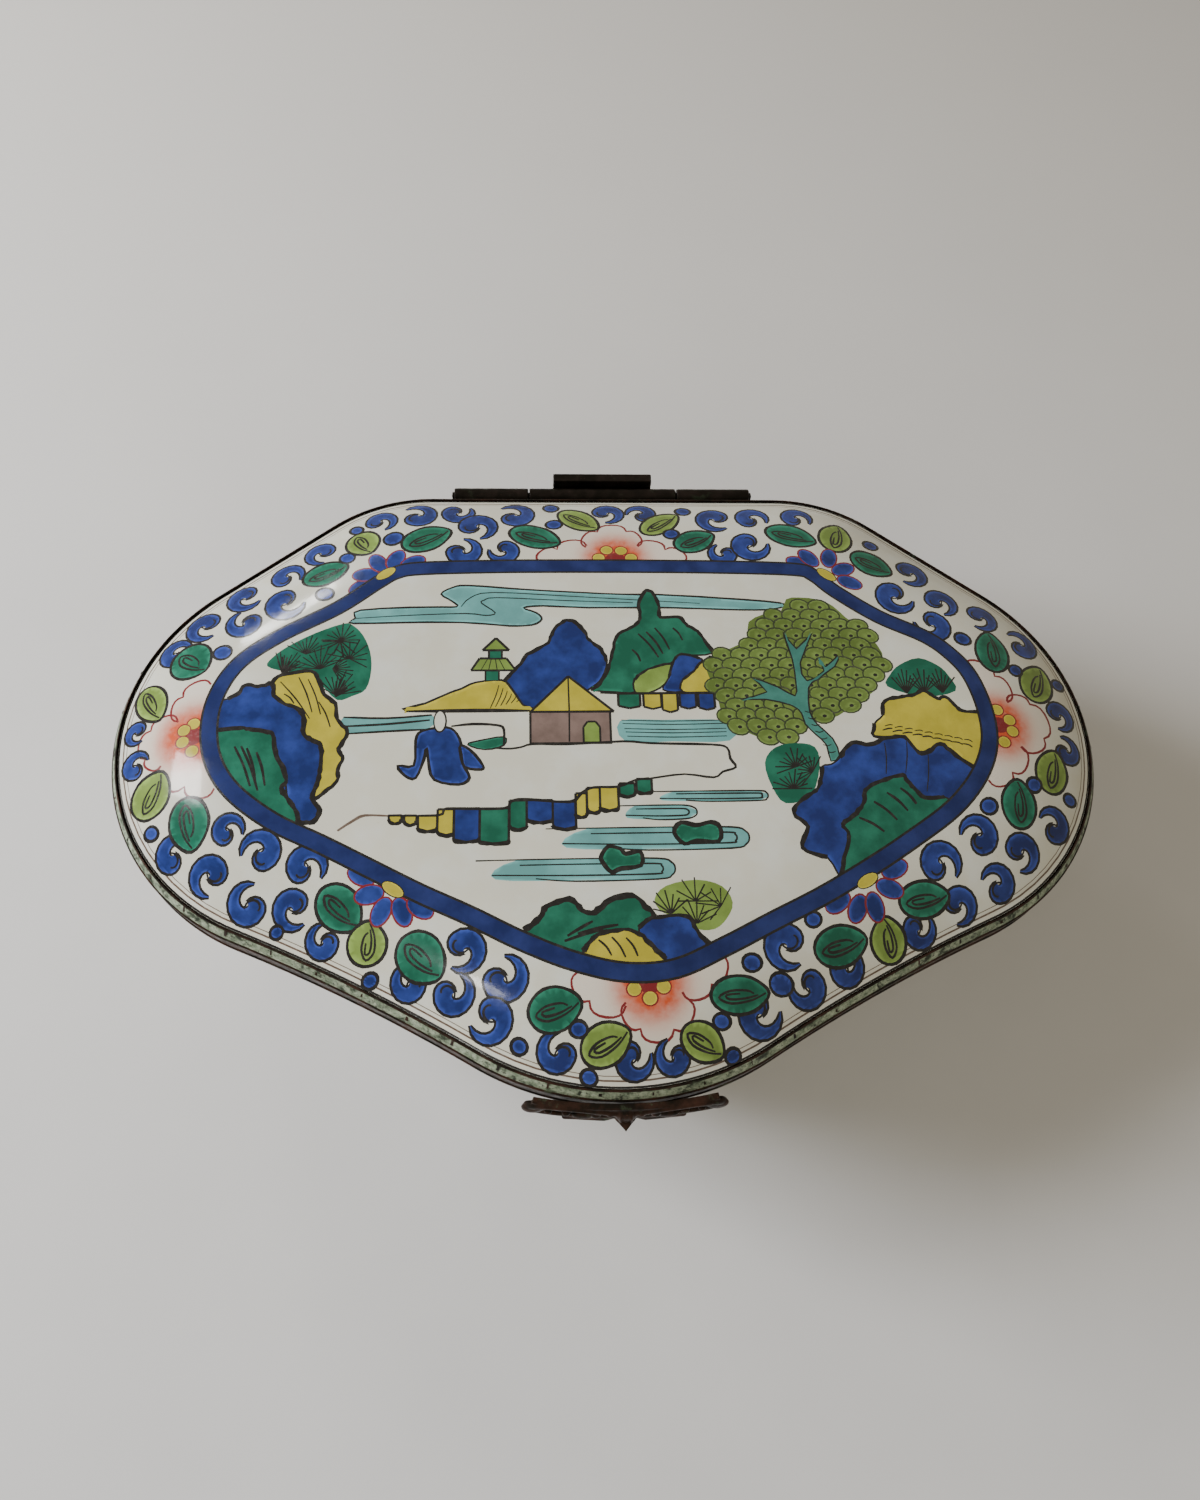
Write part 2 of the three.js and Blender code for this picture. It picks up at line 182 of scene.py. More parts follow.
def half_rim(step):
    """The right half of the rim, from the front's middle to the back's middle."""
    front = Vector((0, FRONT_RADIUS - FRONT_REACH))
    end = Vector((HALF_WIDTH - END_RADIUS, END_CENTRE_Y))
    corner = Vector((BACK_FLAT_HALF, BACK_REACH - CORNER_RADIUS))
    between = end - front
    span = between.length
    to_front = FRONT_RADIUS + WAIST_RADIUS
    to_end = END_RADIUS + WAIST_RADIUS
    along = (to_front**2 - to_end**2 + span**2) / (2 * span)
    outwards = Vector((between.y, -between.x)) / span
    waist = front + between * (along / span) + outwards * math.sqrt(to_front**2 - along**2)
    front_turn = math.atan2(waist.y - front.y, waist.x - front.x)
    end_turn = math.atan2(waist.y - end.y, waist.x - end.x)
    behind = corner - end
    side_turn = math.atan2(behind.y, behind.x) - math.acos((END_RADIUS - CORNER_RADIUS) / behind.length)
    if end_turn > side_turn:
        end_turn -= 2 * math.pi
    course = arc(front, FRONT_RADIUS, -math.pi / 2, front_turn, step)
    course += arc(waist, WAIST_RADIUS, front_turn + math.pi, end_turn + math.pi, step, True)[1:]
    course += arc(end, END_RADIUS, end_turn, side_turn, step)[1:]
    course += straight(course[-1][0], arc(corner, CORNER_RADIUS, side_turn, side_turn, step)[0][0],
                       course[-1][1], step)
    course += arc(corner, CORNER_RADIUS, side_turn, math.pi / 2, step)
    course += straight(course[-1][0], Vector((0, BACK_REACH)), Vector((0, 1)), step)
    course.append((Vector((0, BACK_REACH)), Vector((0, 1))))
    return course


def straight(start, end, out, step):
    """Points strictly between two ends of a straight stretch."""
    count = max(1, math.ceil((end - start).length / step))
    return [(start.lerp(end, k / count), out) for k in range(1, count)]


def rim_course(step):
    """The whole rim from the back's middle round by the left, as points, outward directions and lengths."""
    right = half_rim(step)
    left = [(Vector((-p.x, p.y)), Vector((-o.x, o.y))) for p, o in reversed(right)]
    whole = left + right[1:-1]
    points = np.array([tuple(p) for p, _ in whole])
    outs = np.array([tuple(o) for _, o in whole])
    steps = np.linalg.norm(np.roll(points, -1, axis=0) - points, axis=1)
    lengths = np.concatenate([[0], np.cumsum(steps)])
    return points, outs, lengths


RIM, RIM_OUT, RIM_LENGTH = rim_course(1.6)
RIM_GIRTH = RIM_LENGTH[-1]


def ring(inset, z):
    """The rim stepped in along its outward directions, at one height."""
    return np.column_stack([RIM - RIM_OUT * inset, np.full(len(RIM), float(z))])


def plan_ring(inset, stride=1):
    """The rim stepped in, as plan points, with only every so many kept."""
    return [Vector(place[:2]) for place in ring(inset, 0)[::stride]]


def rim_distance(places):
    """How far each plan point lies from the rim, worked out a batch at a time."""
    batch = 3000
    edge = np.roll(RIM, -1, axis=0) - RIM
    square = (edge**2).sum(axis=1)
    least = np.empty(len(places))
    for first in range(0, len(places), batch):
        away = places[first:first + batch, None, :] - RIM[None]
        share = np.clip((away * edge[None]).sum(axis=2) / square, 0, 1)
        gap = away - share[..., None] * edge[None]
        least[first:first + batch] = np.sqrt((gap**2).sum(axis=2)).min(axis=1)
    return least


def lid_height(places):
    """Height of the lid's outer face over each plan point."""
    left = 1 - np.clip((rim_distance(places) - LID_INSET) / DOME_REACH, 0, 1)
    return LID_EDGE + CROWN_RISE * (1 - left**3)


def lid_normals(places):
    """Normals of the lid's outer face, taken over a short reach so that the gloss runs smoothly."""
    reach = 2.0
    east, north = np.array([reach, 0]), np.array([0, reach])
    slope_x = (lid_height(places + east) - lid_height(places - east)) / (2 * reach)
    slope_y = (lid_height(places + north) - lid_height(places - north)) / (2 * reach)
    normals = np.column_stack([-slope_x, -slope_y, np.ones(len(places))])
    return normals / np.linalg.norm(normals, axis=1)[:, None]


# Drawing

def smooth(points, closed, steps):
    """A curve through a few points."""
    pts = [Vector(p) for p in points]
    count = len(pts)
    course = []
    for k in range(count if closed else count - 1):
        around = [(k + j) % count if closed else min(max(k + j, 0), count - 1) for j in (-1, 0, 1, 2)]
        a, b, c, d = (pts[j] for j in around)
        for s in range(steps):
            t = s / steps
            course.append(0.5 * (2 * b + (c - a) * t + (2 * a - 5 * b + 4 * c - d) * t**2
                                 + (3 * b - a - 3 * c + d) * t**3))
    if not closed:
        course.append(pts[-1])
    return course


def signed_area(points):
    return sum(a.x * b.y - b.x * a.y for a, b in zip(points, points[1:] + points[:1])) / 2


def outset(points, distance):
    """An outline moved outwards by a distance, or inwards when it is negative."""
    sign = 1 if signed_area(points) > 0 else -1
    moved = []
    for before, here, after in zip(points[-1:] + points[:-1], points, points[1:] + points[:1]):
        run = (after - before).normalized()
        moved.append(here + Vector((run.y, -run.x)) * sign * distance)
    return moved


def oval(x, y, rx, ry, turn, count):
    """An ellipse with its long axis turned by an angle in degrees."""
    c, s = math.cos(math.radians(turn)), math.sin(math.radians(turn))
    course = []
    for k in range(count):
        a = 2 * math.pi * k / count
        u, v = rx * math.cos(a), ry * math.sin(a)
        course.append(Vector((x + c * u - s * v, y + s * u + c * v)))
    return course


def hand(place, seed):
    """A slow waver between -1 and 1, as a brush has."""
    return noise.noise(Vector((place.x * 0.33, place.y * 0.33, seed)))


class Canvas:
    """Painted shapes laid over each other in a plane, in millimetres, the later ones on top."""

    def __init__(self, line_width):
        self.line_width = line_width
        self.points, self.cores, self.shapes, self.pigments = [], [], [], []

    def area(self, outline, pigment, core=0.0):
        """A filled shape. The core value says how thick the enamel lies at its edge."""
        outline = [Vector(place) for place in outline]
        if signed_area(outline) < 0:
            outline.reverse()
        first = len(self.points)
        self.points += outline
        self.cores += [core] * len(outline)
        self.shapes.append(list(range(first, len(self.points))))
        self.pigments.append(pigment)

    def enamel(self, outline, pigment, line="ink", width=None, depth=0.7):
        """A shape with a drawn outline, paler at its edge than in its middle."""
        width = self.line_width if width is None else width
        if line:
            drawn = outset(outline, width / 2)
            self.area([p + Vector((hand(p, 1.5), hand(p, 7.5))) * width * 0.3 for p in drawn], line, 1.0)
            outline = outset(outline, -width / 2)
        self.area(outline, pigment)
        inner = outset(outline, -depth)
        if abs(signed_area(inner)) < abs(signed_area(outline)):
            self.area(inner, pigment, 1.0)

    def wash(self, outline, pigment):
        """Enamel without a drawn line, rounded through a few points."""
        self.area(smooth(outline, True, 3), pigment, 1.0)

    def rounded(self, outline, pigment, width=None, depth=0.7):
        """Enamel with a drawn outline, rounded through a few points."""
        self.enamel(smooth(outline, True, 3), pigment, width=width, depth=depth)

    def line(self, route, width=None, pigment="ink", taper=0.3, steps=3):
        """A brush line through a few points, thinner at its ends."""
        width = self.line_width if width is None else width
        route = smooth(route, False, steps) if len(route) > 2 else [Vector(p) for p in route]
        left, right = [], []
        last = len(route) - 1
        for k, here in enumerate(route):
            run = (route[min(k + 1, last)] - route[max(k - 1, 0)]).normalized()
            swell = taper + (1 - taper) * math.sin(math.pi * (0.12 + 0.76 * k / last)) ** 0.6
            half = width * 0.64 * swell * (1 + 0.3 * hand(here, 3.1))
            side = Vector((-run.y, run.x)) * half
            left.append(here + side)
            right.append(here - side)
        self.area(right + left[::-1], pigment, 1.0)

    def rock_edge(self, route, width=1.0):
        """The heavy ragged line along the top of a painted rock."""
        route = smooth(route, False, 4)
        left, right = [], []
        last = len(route) - 1
        for k, here in enumerate(route):
            run = (route[min(k + 1, last)] - route[max(k - 1, 0)]).normalized()
            side = Vector((-run.y, run.x))
            left.append(here + side * width * (0.5 + 0.35 * noise.noise(Vector((here.x, here.y, 2.7)))))
            right.append(here - side * width * (0.45 + 0.4 * noise.noise(Vector((here.x, here.y, 9.2)))))
        self.area(right + left[::-1], "ink", 1.0)

    def band(self, outer, inner, pigment, core=0.0):
        """A filled ring between two outlines of equal sense, cut through once."""
        self.area(outer + outer[:1] + inner[:1] + inner[:0:-1] + inner[:1], pigment, core)

    def triangulated(self, spots):
        """Cuts the plane along every shape. Gives points, triangles, the pigment of each and the cores."""
        inputs = self.points + [Vector(s) for s in spots]
        edges = [(a, b) for shape in self.shapes for a, b in zip(shape, shape[1:] + shape[:1])]
        points, _, faces, sources, _, _ = delaunay_2d_cdt(inputs, edges, [], 0, 1e-4, True)
        points = np.array([tuple(p) for p in points])
        faces = np.array(faces)
        centres = points[faces].mean(axis=1)
        tops = np.full(len(faces), -1)
        owners = np.repeat(np.arange(len(self.shapes)), [len(shape) for shape in self.shapes])
        cores, drawn = [], []
        for source in sources:
            mine = [s for s in source if s < len(self.cores)]
            cores.append(max(self.cores[s] for s in mine) if mine else (1.0 if source else 0.0))
            drawn.append(max(owners[s] for s in mine) if mine else -1)
        cores, drawn = np.array(cores), np.array(drawn)
        for number, shape in enumerate(self.shapes):
            outline = np.array([tuple(self.points[k]) for k in shape])
            tops[covered(centres, outline)] = number
            hidden = covered(points, outline)
            cores[hidden[drawn[hidden] < number]] = 1.0
        kept = tops >= 0
        return points, faces[kept].tolist(), [self.pigments[t] for t in tops[kept]], cores


def covered(places, outline):
    """Which of the places lie within an outline, looked for in its bounding box."""
    near = np.nonzero(((places > outline.min(axis=0)) & (places < outline.max(axis=0))).all(axis=1))[0]
    return near[turns_round(places[near], outline) != 0]


def turns_round(places, outline):
    """How often an outline winds round each place: not 0 means inside."""
    turns = np.zeros(len(places), int)
    x, y = places[:, 0], places[:, 1]
    for a, b in zip(outline, np.roll(outline, -1, axis=0)):
        left = (b[0] - a[0]) * (y - a[1]) - (x - a[0]) * (b[1] - a[1])
        turns += ((a[1] <= y) & (b[1] > y) & (left > 0)).astype(int)
        turns -= ((a[1] > y) & (b[1] <= y) & (left < 0)).astype(int)
    return turns


# Motifs of the border

COMMA_BEND = 250
HEAD_REACH, TAIL_REACH = 0.38, 0.84
HEAD_SIZE = 0.5


def comma(x, y, radius, turn, way, grow):
    """A comma scroll: a round head and a tail that sweeps round it. Way is 1 or -1."""
    centre = Vector((x, y))
    inner, outer = [], []
    stations = 12
    for k in range(stations + 1):
        t = k / stations
        away = bearing(math.radians(turn + way * COMMA_BEND * t))
        reach = HEAD_REACH + (TAIL_REACH - HEAD_REACH) * t**0.8
        half = max(max(HEAD_SIZE * (1 - t) ** 0.6, 0.02) + grow / radius, 0.004)
        inner.append(centre + away * radius * (reach - half))
        outer.append(centre + away * radius * (reach + half))
    head = (inner[0] + outer[0]) / 2
    size = max(HEAD_SIZE * radius + grow, 0.05)
    cap = [head + bearing(math.radians(turn + 180) + way * math.pi * k / 7) * size for k in range(1, 7)]
    return inner[::-1] + cap + outer


def scroll(canvas, x, y, radius, turn, way):
    """A blue comma scroll with its drawn outline and the curled line of its eye."""
    width = canvas.line_width
    radius *= 0.97
    canvas.area(comma(x, y, radius, turn, way, width * 0.46), "ink")
    canvas.area(comma(x, y, radius, turn, way, -width * 0.38), "cobalt")
    canvas.area(comma(x, y, radius * 0.97, turn, way, -radius * 0.2), "cobalt", 1.0)
    head = Vector((x, y)) + bearing(math.radians(turn)) * radius * HEAD_REACH
    eye = []
    for k in range(7):
        inwards = HEAD_SIZE - 0.055 * k
        eye.append(head + bearing(math.radians(turn + 180 + way * 34 * (k - 1))) * radius * inwards)
    canvas.line(eye, width * 0.55)


def leaf(canvas, x, y, rx, ry, turn, pigment):
    """A round leaf with a point and two looped veins."""
    c, s = math.cos(math.radians(turn)), math.sin(math.radians(turn))

    def at(u, v):
        return Vector((x + c * u * rx - s * v * ry, y + s * u * rx + c * v * ry))

    body = []
    for k in range(24):
        a = 2 * math.pi * k / 24
        point = 1 + 0.1 * max(0, math.cos(a)) ** 6
        body.append(at(math.cos(a) * point, math.sin(a) * (1 - 0.1 * max(0, math.cos(a)) ** 2)))
    canvas.enamel(body, pigment, depth=min(rx, ry) * 0.3)
    thin = canvas.line_width * 0.58
    canvas.line([at(0.98, 0.03), at(0.45, -0.3), at(-0.3, -0.42), at(-0.72, -0.08), at(-0.3, 0.22),
                 at(0.3, 0.2), at(0.55, 0.02)], thin)
    canvas.line([at(0.7, -0.05), at(0.2, -0.2), at(-0.35, -0.2), at(-0.45, 0.02), at(0.05, 0.06)], thin)


def dot(canvas, x, y, radius):
    """A blue dot, a little out of round."""
    canvas.enamel(oval(x, y, radius * 1.08, radius * 0.95, 30 * math.sin(x), 14), "cobalt",
                  depth=radius * 0.4)


def daisy(canvas, heart, petals):
    """Blue petals in a red outline, fanned out from a heart on the band."""
    middle = Vector(heart)
    for place in petals:
        tip = Vector(place)
        lean = tip - middle
        angle = math.degrees(math.atan2(lean.y, lean.x))
        at = middle.lerp(tip, 0.82)
        canvas.enamel(oval(at.x, at.y, 3.0, 1.9, angle, 18), "cobalt", "red", 0.38, 0.7)


def scallops(cusps, heart):
    """The lobed edge of a petal: arcs from cusp to cusp that swell away from the heart."""
    bulge, steps = 0.36, 8
    course = []
    for a, b in zip(cusps, cusps[1:]):
        a, b = Vector(a), Vector(b)
        chord = b - a
        away = Vector((chord.y, -chord.x)).normalized()
        if away.dot((a + b) / 2 - Vector(heart)) < 0:
            away.negate()
        for k in range(steps):
            t = k / steps
            course.append(a + chord * (t - 0.1 * math.sin(2 * math.pi * t))
                          + away * chord.length * bulge * math.sin(math.pi * t) ** 0.75)
    return course + [Vector(cusps[-1])]


def blossom(canvas, petals, heart, dots):
    """Pink petals with scalloped red outlines, a red heart and yellow stamens on the band's edge."""
    for cusps in petals:
        canvas.area(scallops(cusps, heart) + [heart], "petal", 1.0)
    canvas.area(oval(*heart, 8.2, 6.4, 0, 20), "petal", 1.0)
    for cusps in petals:
        canvas.line(scallops(cusps, heart), 0.4, "red", 0.85, 1)
    canvas.area(oval(*heart, 2.3, 1.9, 0, 16), "red", 1.0)
    for place in dots:
        canvas.enamel(oval(*place, 1.5, 1.4, 0, 14), "yellow", "red", 0.3, 0.4)


BORDER_SCROLLS = [
    (-52.5, 54.5, 4.2, 180, -1), (-44, 56.4, 4.8, 250, 1), (-34.6, 57.4, 4.3, 150, 1),
    (-30, 51.6, 5.1, 170, -1), (-21.4, 56.6, 5.0, 250, 1), (-33, 43.6, 4.6, 200, 1),
    (-23.9, 43.5, 4.0, 60, -1), (0.4, 57, 4.3, 150, -1), (8.3, 57.2, 4.0, 300, 1),
    (25.8, 54.6, 4.8, 60, 1), (34.8, 55.2, 4.4, 220, -1), (26.4, 42.8, 3.7, 0, -1),
    (33.2, 45.4, 5.0, 120, 1), (45.6, 55.6, 4.2, 210, -1), (-97, 19.8, 4.3, 250, -1),
    (-89.8, 26, 4.8, 60, 1), (-80.6, 25.6, 4.5, 0, -1), (-82.4, 34, 4.7, 90, 1),
    (-71.8, 30.2, 5.1, 110, 1), (-72.6, 39, 4.3, 220, -1), (-65.6, 45.4, 4.2, 40, 1),
    (-102.7, 0.2, 3.1, 60, 1), (-102.2, -7.6, 3.6, 265, -1), (-91.6, -28, 4.4, 250, -1),
    (-78.8, -24, 3.8, 230, -1), (-82.4, -32.7, 4.6, 20, 1), (-72.2, -28.6, 4.7, -60, 1),
    (-62.6, -32, 4.6, 210, -1), (-74.6, -38.4, 4.6, -40, -1), (-65.2, -40, 4.4, 60, 1),
    (-60, -46.7, 3.8, -20, -1), (-43.1, -56.2, 4.0, -30, -1), (-31.2, -49.6, 4.7, 120, -1),
    (-23.3, -55, 5.0, 200, 1), (-33.2, -57.2, 4.5, 180, 1), (-26.4, -63, 4.8, 80, -1),
    (-13.4, -70, 4.3, -30, -1), (1.6, -71.8, 4.1, 130, 1), (9.2, -71.4, 3.8, 0, -1),
    (32.4, -49.8, 5.0, 60, 1), (27.6, -64.6, 5.0, 120, 1), (37, -58.4, 4.4, 45, -1),
    (46.2, -55, 4.1, 200, 1), (70.6, 39.6, 4.6, 120, -1), (65.2, 31.2, 5.1, 100, 1),
    (76, 30.7, 4.5, 160, -1), (72.2, 23.6, 4.9, 60, -1), (85.2, 27.3, 4.4, 120, -1), (94, 21, 4.5, 250, 1),
    (98.9, 2.2, 4.1, 140, -1), (98.9, -6, 3.8, 220, 1), (92.6, -23.6, 4.3, 270, 1),
    (74.6, -27, 4.7, 290, 1), (84.2, -30, 4.5, 150, -1), (66, -32.9, 4.9, 210, -1),
    (78.2, -36.4, 4.3, 280, 1), (70.4, -41.4, 4.2, 150, -1), (62.6, -47, 4.0, 160, 1),
]
DARK_LEAVES = [
    (-41.6, 47.5, 5.8, 3.9, 28), (-16.9, 48.3, 5.9, 3.7, -22), (20, 46.8, 4.9, 3.5, 25),
    (42.8, 48.9, 5.8, 3.7, -20), (61, 41.3, 5, 3.7, -28), (-64, 38.3, 5.1, 3.5, 22),
    (-91.3, 16.3, 4.6, 4.9, -40), (-87.3, -21.7, 5.4, 4.3, -80), (-56, -40.2, 5.1, 4.2, -45),
    (-39.7, -50.3, 5.2, 4.6, -45), (-13.8, -61.3, 5, 4.2, 12), (22.2, -59, 5.6, 3.6, 4),
    (43.4, -49.4, 5.5, 3.9, 16), (61.7, -40, 5.3, 3.6, 10), (84.7, -20, 5.1, 4, 85), (85.3, 17, 5.5, 4, 84),
]
LIGHT_LEAVES = [
    (-56, 47.3, 3.9, 4, -60), (-6.6, 54.6, 5.3, 3.5, -38), (12.5, 53, 5.4, 3.3, 38),
    (53.8, 48.9, 4.9, 4, 70), (-99, 7, 5, 3.6, -60), (-96.3, -15, 5, 4.3, 65), (-50.3, -47.3, 4, 4, 80),
    (-4.1, -67.8, 4.9, 3.9, 25), (14.7, -67.5, 4.4, 3.5, -30), (53.8, -48.1, 4.3, 3.8, 100),
    (93.9, -12, 5, 3.9, 70), (94.7, 9.7, 5.2, 4.1, 62),
]
DOTS = [
    (-49, 47.9, 2.2), (-12.2, 52.7, 1.8), (-12.8, 59.6, 1.7), (15, 49.3, 1.7), (18.6, 58.3, 1.7),
    (-84.3, 17.5, 2), (-63.3, 32.1, 1.9), (-59.2, 42.7, 1.7), (-58, 52.3, 1.5), (-95.5, -22.7, 1.5),
    (-68.5, -43.9, 1.3), (-49.7, -53.9, 1.5), (-20.5, -67.5, 1.5), (-9.1, -65, 1.6), (-7.2, -73.4, 1.5),
    (18.6, -63.9, 1.6), (20.8, -70, 1.5), (25.1, -53, 1.8), (30.9, -56.9, 2.3), (38.1, -44.5, 1.6),
    (62.5, 48, 1.7), (78.9, 20.1, 1.8), (90.1, 12.7, 1.6), (101, 11, 1.6), (89, -15.3, 1.7),
    (97.7, -17.5, 1.5), (77.7, -20.7, 1.8),
]
DAISIES = [
    ((-50, 37), [(-56.5, 32.8), (-55.6, 37), (-52.4, 41), (-47.6, 42), (-42.8, 40.6)], 35),
    ((49.7, 36.7), [(42.2, 40.4), (45.4, 42.6), (51.3, 43), (54.8, 39), (56, 34.3)], -38),
    ((-45.3, -37.2), [(-53, -33.6), (-51, -38.2), (-48, -42.3), (-43, -42.6), (-38.6, -41.8)], -32),
    ((50, -36.6), [(42, -42), (47, -43.4), (51.5, -42.9), (55.6, -38.4), (57.2, -33.6)], 30),
]
BLOSSOMS = [
    ([[(-4.8, 45.2), (-11.6, 44), (-15.9, 40.3)], [(6.8, 45.2), (13.2, 44), (17.5, 40.3)],
      [(-5, 44.7), (-2.2, 50), (4.6, 50.2), (6.9, 45)]],
     (1.6, 41), [(-2.2, 41.4), (-0.3, 43.8), (3, 43.6), (5.2, 41.4)]),
    ([[(-9.2, -54.6), (-7, -60), (0, -61)], [(19, -51.6), (16.8, -57.2), (11, -58.6)],
      [(0, -60.4), (2.7, -65.2), (9.2, -65.4), (12.3, -60)]],
     (4.7, -57), [(1.7, -58), (4.7, -59.7), (7.4, -57.6)]),
    ([[(-85.7, 9.3), (-91.6, 7), (-91.8, 1)], [(-94.6, -8.6), (-88.8, -14), (-82.4, -15)],
      [(-92, 1.3), (-98, 0), (-98.4, -6.4), (-94.6, -8.8)]],
     (-88, -3), [(-88.3, 0), (-90.3, -1.3), (-90.3, -4), (-88, -6.3)]),
    ([[(77.7, 12.7), (84.4, 10.4), (86, 3.8)], [(87.4, -6.8), (84.2, -13), (78.4, -15)],
      [(86, 4), (91.6, 4), (93.4, -4.2), (87.2, -6.8)]],
     (83, -2), [(83.2, 1.7), (85.7, -0.6), (85.9, -3.3), (83.5, -6)]),
]

# Middle line of the blue band round the picture
PANEL = [
    (-2, 38.9), (-24, 38.8), (-42, 38.2), (-47.5, 37.2), (-51.5, 34.6), (-60, 27.9), (-72, 21), (-80, 14.5),
    (-84, 7), (-84.9, -1), (-83.2, -9), (-78.5, -16), (-70, -22.6), (-60, -27.6), (-50, -32.9),
    (-40, -38.2), (-30, -43), (-20, -48.2), (-10, -52.4), (0, -54.8), (10, -54.2), (20, -49.9), (30, -44.9),
    (40, -40), (50, -34.4), (60, -28.2), (70, -21.2), (76.5, -14), (80, -6.5), (80.4, 1.5), (78.6, 10),
    (75.2, 15.5), (70, 20.2), (60, 25.3), (51, 32), (46.5, 36.4), (42, 38), (22, 38.7),
]


RIM_MARGIN = 1.5


def paint_border(canvas):
    """Dark seam along the metal, painted shade and grime in the joint under its lip; drawn line, blossoms,
    daisies, leaves and scrolls outside the panel.
    """
    # Painted shade and grime: a dark ring of ink where the porcelain meets the metal lip
    canvas.band(plan_ring(LID_INSET + 0.02, 2), plan_ring(LID_INSET + 0.42, 2), "ink", 1.0)
    for rim_inset, width in ((3.3, 0.34), (4.1, 0.15)):
        course = plan_ring(rim_inset, 3)
        canvas.band(outset(course, width / 2), outset(course, -width / 2), "rust", 1.0)
    for petals, heart, dots in BLOSSOMS:
        blossom(canvas, petals, heart, dots)
    for x, y, radius, turn, way in BORDER_SCROLLS:
        place = Vector((x, y))
        room = float(rim_distance(np.array([place]))[0]) - LID_INSET - RIM_MARGIN - radius * 0.9
        place += (MIDDLE - place).normalized() * max(0.0, -room) * 0.85
        scroll(canvas, *place, radius, turn, way)
    for x, y, rx, ry, turn in DARK_LEAVES:
        leaf(canvas, x, y, rx, ry, turn, "green")
    for x, y, rx, ry, turn in LIGHT_LEAVES:
        leaf(canvas, x, y, rx, ry, turn, "leaf")
    for spec in DOTS:
        dot(canvas, *spec)
    for heart, petals, _ in DAISIES:
        daisy(canvas, heart, petals)


def paint_ground(canvas):
    """Plain glaze inside the panel, under the picture."""
    canvas.area(smooth(PANEL, True, 5), "glaze", 1.0)


def paint_band(canvas, width):
    """The blue band with its drawn edges, over border and picture, and the daisies' hearts on it."""
    course = smooth(PANEL, True, 5)
    half, edge = width / 2, 0.5
    for outer, inner, pigment, core in (
        (half + edge, half, "ink", 1.0), (half, -half, "deep", 0.0),
        (half - edge, edge - half, "deep", 1.0), (-half, -half - edge, "ink", 1.0),
    ):
        canvas.band(outset(course, outer), outset(course, inner), pigment, core)
    for heart, _, turn in DAISIES:
        canvas.enamel(oval(*heart, 2.5, 1.25, turn, 16), "yellow", "ink", 0.22, depth=0.35)


# Picture inside the panel

def needles(canvas, root, reach, start, end, count, width=0.3):
    """A fan of pine needles between two angles in degrees."""
    for k in range(count):
        away = bearing(math.radians(start + (end - start) * k / (count - 1)))
        tip = Vector(root) + away * reach * (0.85 + 0.15 * math.sin(5 * k))
        canvas.line([Vector(root), tip], width)


def strokes(canvas, ends, width):
    """Short brush strokes, each bent a little at its middle."""
    for a, b in ends:
        mid = (Vector(a) + Vector(b)) / 2 + Vector((0.25, 0.2))
        canvas.line([a, mid, b], width)


def rock(canvas, outline, pigment, edge, width):
    """A painted rock: its enamel, a thin outline and the heavy ragged line along the edges named."""
    canvas.rounded(outline, pigment, 0.42, 0.8)
    for first, last in edge:
        canvas.rock_edge(outline[first:last + 1], width)


